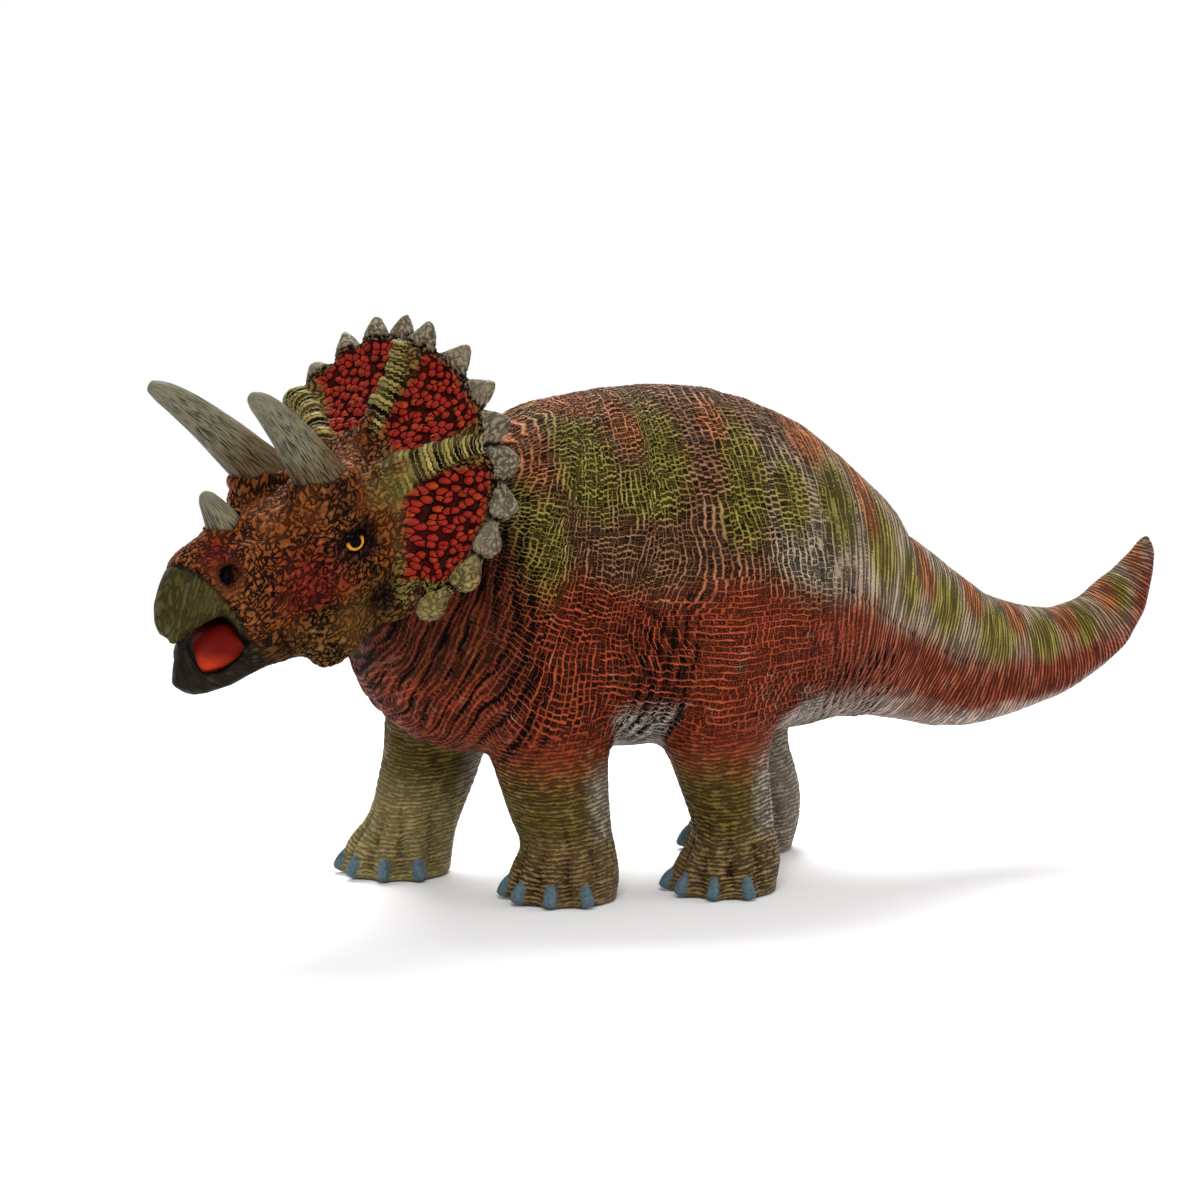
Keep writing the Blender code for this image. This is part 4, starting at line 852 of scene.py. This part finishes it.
# %% Coats of the head
face_lines = np.stack([forward + 0.2 * up, up * 1.2, left * 1.1], axis=1) / 1.2
arch = np.arctan2(up + 4, forward - 38) * 15
grooves = np.stack([np.hypot(forward - 38, up + 4) / 0.65, arch / 5, left * 0.5], axis=1)
face_lines = np.where((np.maximum(beak, jaw_of * ramp(forward, 34, 38)) > 0.5)[:, None], grooves, face_lines)
scale_lines = np.stack([left + 0.3 * forward, up - 0.8 * forward, none], axis=1)
bar_lines = np.stack([reach * rim_length / RUNG, station * 0.6, none], axis=1)
lobe = ramp(offset, 6.9, 8.0)
jaw_beak = jaw_of * ramp(forward, 36, 43)
ribbed = np.max([ridge, 0.5 * (1 - field), lobe], axis=0)
cheek_hollow = (18.0, 10.5, -14.5)
# Painted shade: darker paint round the eyes and nostrils, in the cheek hollow, under the brow horns and at the
# mouth's corner.
shades = [0.9 * ramp(eye_gap, 6.2, 2.6) * ramp(side_left, 6, 8), 0.7 * ramp(nostril_gap, 3.4, 1.4),
          0.8 * round_spot(cheek_hollow, 5.5), 0.6 * round_spot((20, 12.5, 4.5), 6),
          0.6 * round_spot((36, 7, -13), 5)]
# Painted shade: black in the nostrils, inside the mouth and in the cheek hollow.
hollows = [ramp(nostril_gap, 2.2, 0.3), ramp(mouth_gap, 1.12, 0.95), 0.5 * round_spot(cheek_hollow, 4.0)]
calm = (1 - field) * np.clip(0.12 - 0.5 * noise(skull, 4.0, 7.7), 0, 0.6)
head_coats = {
    "orange_brow": round_spot((30, 4, 8), 12) * (1 - on_frill),
    "red_cheek": np.maximum(round_spot((29, 9, -6.0), 12), round_spot((39, 4, 6), 6)) * (1 - beak),
    "ochre_jowl": ramp(up, -8, -13) * ramp(forward, 12, 16),
    "olive_frill": on_frill * front_side * ribbed + 0.6 * round_spot((9.7, 10.6, 1.6), 7),
    "red_field": field,
    "grey_rim": rim_part * (1 - 0.8 * lobe),
    "frill_back": on_frill * (1 - front_side) * (1 - rim_part),
    "olive_beak": beak,
    "dark_jaw": jaw_beak,
    "dark_socket": np.max(shades, axis=0),
    "black_hollow": np.max(hollows, axis=0),
    # Grooves of the head get darker by their depth, a wash that is also painted shade.
    "deep_fold": np.clip(-head_depth * 1.6 - 0.1, 0, 1),
}
head_lines = {
    "face_lines": face_lines,
    "scale_lines": scale_lines,
    "bar_lines": bar_lines,
    "frill_field": field,
    "ridge_share": ridge,
    "raise_share": 0.8 + 2.0 * field + 0.5 * ridge,
    "floor_share": none,
    "contrast": ((1 - 0.4 * np.maximum(beak, jaw_beak)) * (1 - 0.3 * rim_part)
                 * (0.25 + 0.75 * ramp(nostril_gap, 1.8, 3.4)) * (1 - calm)),
    # How much of the pale brush colour goes into the dry brush, which is also painted highlight.
    "brush_share": 0.12 + 0.3 * rim_part,
    "relief": (1 - 0.9 * np.maximum(beak, jaw_beak)) * (1 - 0.65 * rim_part) * ramp(mouth_gap, 0.95, 1.15),
}
head_attributes = {**head_coats, **head_lines}
head_relief = relief_tree("head_relief", head_pattern, 0.14, 0.20)
head_points = raised("head_raised", head_points, head_quads, head_attributes, head_relief)

# %% [markdown]
# ## Paint
# The material starts from satin soft PVC, which has an index of refraction of about 1.53.  Over the
# sprayed coats lies a wash that darkens pits and folds, which is also painted shade, and a dry brush
# that lightens the raised lines, which is also painted highlight.

# %% Painted skin
CLOUD_SCALE = 0.28 / MM
SPECKLE_SCALE = 1.9 / MM
BUMP_DEPTH = 0.36 * MM
PATCHINESS = 0.4


def coated(add, base, coats, cloud):
    """A base colour with coats over it, each sprayed through a mask with a soft, uneven edge."""
    colour = base
    for label, code, strength in coats:
        mask = add("Math.MULTIPLY_ADD", cloud, PATCHINESS, label)
        cover = add("MapRange", mask, 0.05 + PATCHINESS / 2, 0.85 + PATCHINESS / 2, 0.0, strength)
        colour = add("Mix.RGBA", cover, colour, code)
    return colour


def painted_skin(name, pattern, base, coats, accent, wash, brush, low_pit):
    """Satin PVC under coats of paint, a dark wash in the pits that is also painted shade, and a dry brush on
    the lines that is also painted highlight.
    """
    material, add, shader = new_paint(name)
    place = add("TexCoord").outputs["Object"]
    cloud = add("TexNoise", place, CLOUD_SCALE, 4.0)
    colour = coated(add, base, coats, cloud)
    edge, chance, rise = pattern(add)
    if accent:
        picked = add("Math.MULTIPLY", add("MapRange", chance, 0.72, 0.9, 0.0, 0.8), accent[0])
        colour = add("Mix.RGBA", picked, colour, accent[1])
    fine = add("TexNoise", place, SPECKLE_SCALE, 3.0)
    worn = add("Math.MULTIPLY_ADD", fine, 0.18, edge)
    crest = add("MapRange.SMOOTHSTEP", worn, 0.19, 0.10)
    groove = add("MapRange.SMOOTHSTEP", worn, 0.24, 0.33)
    floor_in = add("MapRange.SMOOTHSTEP", worn, 0.38, 0.46, 0.0, 0.85)
    floor_out = add("MapRange.SMOOTHSTEP", worn, 0.56, 0.50)
    pit_floor = add("Math.MULTIPLY", add("Math.MULTIPLY", floor_in, floor_out), "floor_share")
    sink = add("Math.SUBTRACT", groove, pit_floor, use_clamp=True)
    pit = add("Math.MULTIPLY", sink, add("MapRange", chance, 0.0, 1.0, low_pit, 1.0))
    pit = add("Math.MULTIPLY", pit, "contrast")
    # The wash darkens pits and deep folds, and is also painted shade there.
    dark = add("Math.MULTIPLY_ADD", pit, 0.98, "deep_fold", use_clamp=True)
    mottled = add("VectorMath.SCALE", colour, add("MapRange", fine, 0.3, 0.7, 0.65, 1.2))
    washed_and_shaded = add("Mix.RGBA", dark, mottled, wash, blend_type="MULTIPLY")
    # The dry brush lightens the raised lines, and is also a painted highlight there.
    brushed_and_highlit = add("Mix.RGBA", "brush_share", add("VectorMath.SCALE", colour, 2.0), brush)
    dry = add("Math.MULTIPLY", crest, add("MapRange", cloud, 0.3, 0.7, 0.35, 1.0), use_clamp=True)
    dry = add("Math.MULTIPLY", dry, "contrast", use_clamp=True)
    painted = add("Mix.RGBA", dry, washed_and_shaded, brushed_and_highlit)
    height = add("Math.MULTIPLY_ADD", fine, 0.35, rise)
    strength = add("Math.MULTIPLY", "relief", 0.9, use_clamp=True)
    bump = add("Bump", {"Strength": strength, "Distance": BUMP_DEPTH, "Height": height})
    gloss = add("MapRange", dark, 0.0, 1.0, 0.45, 0.75)
    fill(shader, {"Base Color": painted, "Normal": bump, "Roughness": gloss,
                  "Specular IOR Level": 0.06, "IOR": 1.53})
    return material


BODY_COATS = (
    ("pale_band", "#9C8C76", 0.8), ("rust_coat", "#7E331A", 1.0), ("olive_patches", "#7C6F2B", 0.95),
    ("orange_saddles", "#9A5A30", 0.95), ("dark_neck", "#5E2812", 0.85), ("pale_underside", "#BDB3A6", 0.9),
    ("olive_shins", "#5C4E20", 0.95), ("taupe_calves", "#8C8070", 0.85), ("tan_feet", "#705A38", 0.9),
    ("ochre_far_leg", "#84764A", 0.9), ("claws", "#50626A", 1.0))
# The socket and hollow coats are painted shade in the head's recesses.
HEAD_COATS = (
    ("orange_brow", "#763C15", 0.8), ("red_cheek", "#661608", 0.95), ("ochre_jowl", "#5E3F16", 0.9),
    ("olive_frill", "#7A6E38", 0.95), ("red_field", "#8E2216", 1.0), ("frill_back", "#5E402A", 0.9),
    ("grey_rim", "#7A6E5A", 1.0), ("olive_beak", "#403818", 1.0), ("dark_jaw", "#16120B", 0.95),
    ("dark_socket", "#260904", 1.0), ("black_hollow", "#040302", 1.0))
FIELD_ACCENT = ("red_field", "#A23A16")
body_paint = painted_skin("painted_pvc_hide", body_pattern, "#744E34", BODY_COATS, None,
                          "#0E0604", "#A49478", 0.85)
head_paint = painted_skin("painted_pvc_head", head_pattern, "#733E18", HEAD_COATS, FIELD_ACCENT,
                          "#120604", "#A89A7A", 0.88)

# %% [markdown]
# ## Back to separate mouldings
# The wrapped skin is cut where the mouldings meet, and each cut is closed with a cap inside the seam.
# The skin's normals are kept across the cut, so no line shows.

# %% Cut a skin into its mouldings


def dress(node, name, mesh, material):
    """A painted piece from a mesh, in place of a CAD node."""
    mesh.materials.append(material)
    piece = bpy.data.objects.new(name, mesh)
    bpy.context.scene.collection.objects.link(piece)
    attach(piece, "root")
    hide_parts(node)
    print(name, len(mesh.polygons), "faces")


def cut_skin(corners, quads, attributes, tree, owners, material, slots):
    """One closed piece for each CAD node, which it replaces."""
    normals = vertex_normals(corners, quads)
    centres = corners[quads].mean(axis=1)
    labels = np.array([owners[tree.find_nearest(Vector(centre))[2]] for centre in centres])
    for node, slot in slots.items():
        own = quads[labels == node]
        used = np.unique(own)
        numbers = np.full(len(corners), -1)
        numbers[used] = np.arange(len(used))
        local = {label: values[used] for label, values in attributes.items()}
        mesh = build_mesh(node + "_skin", corners[used], numbers[own], local)
        cap_holes(mesh)
        loop_normals(mesh, normals[used])
        dress(node, node + "_skin", mesh, material)


def cap_holes(mesh):
    """Close each open rim with a fan to its middle."""
    form = bmesh.new()
    form.from_mesh(mesh)
    rim = [edge for edge in form.edges if edge.is_boundary]
    if rim:
        bmesh.ops.holes_fill(form, edges=rim, sides=0)
        caps = [face for face in form.faces if len(face.verts) > 4]
        if caps:
            bmesh.ops.poke(form, faces=caps)
    form.to_mesh(mesh)
    form.free()


def loop_normals(mesh, normals):
    """Keep the uncut skin's normals, with caps shaded by their own faces."""
    loops = np.empty(len(mesh.loops), np.int32)
    mesh.loops.foreach_get("vertex_index", loops)
    known = np.vstack([normals, np.zeros((len(mesh.vertices) - len(normals), 3))])
    mesh.normals_split_custom_set([tuple(normal) for normal in known[loops]])


BODY_SLOTS = {node: "leg_skin" if "leg" in node else "body_skin" for node in BODY_NODES}
cut_skin(body_points, body_quads, body_attributes, body_tree, body_owners, body_paint, BODY_SLOTS)
HEAD_SLOTS = {"head": "head_skin", "lower_jaw": "jaw_skin"}
cut_skin(head_points, head_quads, head_attributes, head_tree, head_owners, head_paint, HEAD_SLOTS)

# %% [markdown]
# ## Horns, eyes and tongue
# These are small mouldings of their own.  Each horn is a tapered sweep with lengthwise grooves, and the
# eyes carry a black pupil in an orange ring whose upper part is painted black and darker, a painted shade under
# the brow.

# %% Sweep a horn
HORN_TAPER = (0.68, 0.94, 0.86, 0.77, 0.67, 0.58, 0.49, 0.39, 0.20)
HORN_SIDES = 72
HORN_STEPS = 110
GROOVES = ((1.7, 3.7, 0.14), (0.7, 8.1, 0.06))


def to_world(points):
    """Points of the head's frame, in millimetres, as points of the row frame."""
    return points @ HEAD_AXES.T * MM + np.array(head_origin)


def sheet_quads(rows, sides):
    """Quads between the rings of a tube, each ring listed one after another."""
    row = np.arange(rows - 1)[:, None] * sides
    side = np.arange(sides)[None]
    after = (side + 1) % sides
    corners = (row + side, row + side + sides, row + after + sides, row + after)
    return np.stack(np.broadcast_arrays(*corners), axis=2).reshape(-1, 4)


def finish_piece(node, points, quads, attributes, material):
    """A closed fine mesh, given in the head's frame, in place of a CAD node."""
    mesh = build_mesh(node + "_fine", to_world(points), quads, attributes)
    cap_holes(mesh)
    dress(node, node + "_fine", mesh, material)


def sweep_horn(node, place, curve, length, width):
    """A grooved horn along a bent path, closed by a blunt tip."""
    share = np.linspace(0, 1, HORN_STEPS)[:, None]
    start, middle, end = [np.array(point) * length for point in curve]
    path = np.array(place) + start * (1 - share) ** 2 + middle * 2 * share * (1 - share) + end * share ** 2
    along = np.gradient(path, axis=0)
    along /= np.linalg.norm(along, axis=1)[:, None]
    across = np.cross(along, (0, 1, 0))
    across /= np.linalg.norm(across, axis=1)[:, None]
    upward = np.cross(across, along)
    taper = smooth_curve(np.array(HORN_TAPER)[:, None], 16)[:, 0]
    radius = np.interp(share[:, 0], np.linspace(0, 1, len(taper)), taper) * width / 2
    radius *= np.sqrt(np.clip((1 - share[:, 0]) / 0.02, 0.02, 1))
    angle = np.linspace(0, 2 * math.pi, HORN_SIDES, endpoint=False)[None]
    ring = np.cos(angle)[:, :, None] * across[:, None] + np.sin(angle)[:, :, None] * upward[:, None]
    spots = np.stack(np.broadcast_arrays(np.cos(angle) * 6, np.sin(angle) * 6, share * length * 0.16), axis=2)
    spots = spots.reshape(-1, 3)
    grooves = sum(noise(spots, size, seed).reshape(HORN_STEPS, -1) * depth for size, seed, depth in GROOVES)
    swell = radius[:, None] + grooves * (np.clip(radius / 2.2, 0, 1) ** 2)[:, None]
    points = (path[:, None] + ring * swell[:, :, None]).reshape(-1, 3)
    lengthwise = np.repeat(share * length, HORN_SIDES, axis=0)
    attributes = {"horn_lines": np.concatenate([spots[:, :2] * 0.9, lengthwise], axis=1),
                  "tip_share": np.repeat(share[:, 0], HORN_SIDES)}
    finish_piece(node, points, sheet_quads(HORN_STEPS, HORN_SIDES), attributes, horn_paint)


# %% Horn paint
horn_paint, add, shader = new_paint("painted_pvc_horn")
streaks = add("TexNoise", add("VectorMath.MULTIPLY", "horn_lines", (1.0, 1.0, 0.14)), 3.6, 4.0)
streak = add("MapRange", streaks, 0.40, 0.53)
shaft = add("Mix.RGBA", streak, "#14110B", "#716B54")
foot = add("Mix.RGBA", streak, "#1C140A", "#5E4A2C")
horn_colour = add("Mix.RGBA", add("MapRange.SMOOTHSTEP", "tip_share", 0.48, 0.26, 0.0, 0.85), shaft, foot)
worn_tip = add("Mix.RGBA", add("MapRange", "tip_share", 0.6, 1.0, 0.0, 0.5), horn_colour, "#6F6858")
bump = add("Bump", {"Strength": 0.6, "Distance": 0.15 * MM, "Height": streaks})
fill(shader, {"Base Color": worn_tip, "Normal": bump, "Roughness": 0.48,
              "Specular IOR Level": 0.15, "IOR": 1.53})

# %% Place the horns
BROW_CURVE = ((-0.09, -0.07, -0.19), (0.14, 0.10, 0.575), (0.34, 0.176, 0.83))
NOSE_CURVE = ((-0.08, 0.0, -0.45), (-0.02, 0.0, 0.35), (0.12, 0.0, 0.80))
for label, side in (("left", 1), ("right", -1)):
    curve = [(x, side * y, z) for x, y, z in BROW_CURVE]
    sweep_horn("brow_horn_" + label, (18.72, side * 7.56, 6.0), curve, 26.2, 8.6)
sweep_horn("nose_horn", (33.54, 0, 7.2), NOSE_CURVE, 8.0, 6.8)

# %% Balls for eyes and tongue
BALL_ROWS = 40
BALL_SIDES = 64
POLE_HOLE = 0.03


def ball(half_lengths):
    """Points and quads of a ball whose small rims at the poles are capped later."""
    tilt = np.linspace(POLE_HOLE, math.pi - POLE_HOLE, BALL_ROWS)[:, None]
    turn = np.linspace(0, 2 * math.pi, BALL_SIDES, endpoint=False)[None]
    places = (np.cos(tilt), np.sin(tilt) * np.cos(turn), np.sin(tilt) * np.sin(turn))
    directions = np.stack(np.broadcast_arrays(*places), axis=2).reshape(-1, 3)
    quads = np.roll(sheet_quads(BALL_ROWS, BALL_SIDES)[:, ::-1], 1, axis=1)
    return directions * np.array(half_lengths), directions, quads


# %% Eyes
EYE_RADIUS = 2.2
eye_paint, add, shader = new_paint("gloss_painted_eye")
ring_in = add("MapRange.SMOOTHSTEP", "look_angle", 25.0, 29.0)
ring_out = add("MapRange.SMOOTHSTEP", "look_angle", 46.0, 40.0)
# Above the eye's middle the ring is painted black and the iris darker, a painted shade under the brow.
lit = add("MapRange.SMOOTHSTEP", "eye_level", 0.85, 0.45)
shown = add("Math.MULTIPLY", add("Math.MULTIPLY", ring_in, ring_out), lit)
iris = add("Mix.RGBA", "eye_level", "#D8962A", "#A04E12")
eye_colour = add("Mix.RGBA", shown, "#020202", iris)
fill(shader, {"Base Color": eye_colour, "Roughness": 0.08, "Specular IOR Level": 0.03, "IOR": 1.5})
for label, side in (("left", 1), ("right", -1)):
    points, directions, quads = ball((EYE_RADIUS,) * 3)
    if side < 0:
        points, directions, quads = points * (1, -1, 1), directions * (1, -1, 1), quads[:, ::-1]
    look = np.array((0.35, side * 0.93, 0.05))
    look /= np.linalg.norm(look)
    angles = np.degrees(np.arccos(np.clip(directions @ look, -1, 1)))
    attributes = {"look_angle": angles, "eye_level": ramp(directions[:, 2], -0.3, 0.5)}
    centre = np.array((18.88, side * 9.24, -3.45))
    finish_piece("eye_" + label, points + centre, quads, attributes, eye_paint)

# %% Tongue
TONGUE_HALVES = (7.1, 4.8, 3.8)
TONGUE_PITCH = -7.0
TONGUE_PLACE = (43.4, -0.5, -8.3)
tongue_paint, add, shader = new_paint("satin_painted_tongue")
buds = add("TexNoise", add("TexCoord").outputs["Object"], 1.2 / MM, 3.0)
# The tongue is painted darker towards its top and back, a painted shade under the beak, and lighter orange low
# at the front.
red = add("Mix.RGBA", "tongue_shade", "#BC3A1A", "#560C07")
tongue_colour = add("Mix.RGBA", add("MapRange", buds, 0.45, 0.75, 0.0, 0.4), red, "#6A120C")
bump = add("Bump", {"Strength": 0.2, "Distance": 0.1 * MM, "Height": buds})
fill(shader, {"Base Color": tongue_colour, "Normal": bump, "Roughness": 0.5,
              "Specular IOR Level": 0.04, "IOR": 1.5})
points, directions, quads = ball(TONGUE_HALVES)
points[:, 2] -= 0.5 * np.exp(-(points[:, 1] / 1.4) ** 2) * ramp(directions[:, 2], 0, 0.5)
pitch = np.array(Matrix.Rotation(math.radians(TONGUE_PITCH), 3, "Y"))
points = points @ pitch.T + np.array(TONGUE_PLACE)
attributes = {"tongue_shade": ramp(directions[:, 2] - directions[:, 0], -1.2, -0.1)}
finish_piece("tongue", points, quads, attributes, tongue_paint)

# %% [markdown]
# ## Floor, light and camera
# The floor is pale card that fades to white away from the figure.  The world gives soft, even light, and
# three lamps give form.  The camera stands where the photographer's did.

# %% Floor
FLOOR_SIZE = 3.0
FLOOR_DROP = 0.0001
FADE_START = 0.11
FADE_END = 0.26
bpy.ops.mesh.primitive_plane_add(size=FLOOR_SIZE, location=(0, 0, cad_low[2] - FLOOR_DROP))
floor = bpy.context.object
floor.name = "floor"
floor_paint, add, shader = new_paint("pale_card")
fill(shader, {"Base Color": "#FAFAFA", "Roughness": 0.9})
away = add("VectorMath.LENGTH", add("TexCoord").outputs["Object"])
far = add("MapRange.SMOOTHSTEP", away, FADE_START, FADE_END)
seen = add("Math.MULTIPLY", add("LightPath").outputs["Is Camera Ray"], far)
faded = add("MixShader", seen, shader, add("Emission", "#FFFFFF", 1.0))
fill(floor_paint.node_tree.nodes["Material Output"], {"Surface": faded})
floor.data.materials.append(floor_paint)

# %% World and lamps
world = bpy.data.worlds.new("studio")
bpy.context.scene.world = world
world.use_nodes = True
tree = world.node_tree
add = partial(add_node, tree)
rays = add("LightPath")
soft = tree.nodes["Background"]
fill(soft, {"Color": "#FFFFFF", "Strength": 0.5})
backdrop = add("Background", "#FFFFFF", 1.0)
mirrored = add("Math.MAXIMUM", rays.outputs["Is Glossy Ray"], rays.outputs["Is Transmission Ray"])
seen = add("Math.MAXIMUM", rays.outputs["Is Camera Ray"], mirrored)
fill(tree.nodes["World Output"], {"Surface": add("MixShader", seen, soft, backdrop)})
LAMPS = (("key", (-0.30, -0.62, 0.55), 0.35, 4.2), ("fill", (0.65, -0.35, 0.30), 0.6, 1.6),
         ("top_back", (0.10, 0.40, 0.60), 0.4, 6.0))
LAMP_AIM = Vector((0, 0, 0.04))
for name, place, size, power in LAMPS:
    lamp = bpy.data.lights.new(name, "AREA")
    lamp.size = size
    lamp.energy = power
    lamp_object = bpy.data.objects.new(name, lamp)
    bpy.context.scene.collection.objects.link(lamp_object)
    lamp_object.location = place
    lamp_object.rotation_euler = (LAMP_AIM - Vector(place)).to_track_quat("-Z", "Y").to_euler()

# %% Camera
AZIMUTH = math.radians(-24.0)
ELEVATION = math.radians(9.5)
DISTANCE = 1.0
WIDTH_AT_OBJECT = 0.192
SENSOR = 36.0
AIM = (-1.12, 3.36, 40.5)
right = Vector((math.cos(AZIMUTH), math.sin(AZIMUTH), 0))
level = Vector((-math.sin(AZIMUTH), math.cos(AZIMUTH), 0))
upward = level * math.sin(ELEVATION) + Vector((0, 0, 1)) * math.cos(ELEVATION)
backward = right.cross(upward)
aim = trunk_origin + (right * AIM[0] + upward * AIM[1] + Vector((0, 0, AIM[2]))) * MM
camera_data = bpy.data.cameras.new("camera")
camera_data.sensor_width = SENSOR
camera_data.lens = SENSOR * DISTANCE / WIDTH_AT_OBJECT
camera = bpy.data.objects.new("camera", camera_data)
bpy.context.scene.collection.objects.link(camera)
axes = Matrix((right, upward, backward)).transposed().to_4x4()
camera.matrix_world = Matrix.Translation(aim + backward * DISTANCE) @ axes
bpy.context.scene.camera = camera
bpy.context.scene.view_settings.view_transform = "Standard"
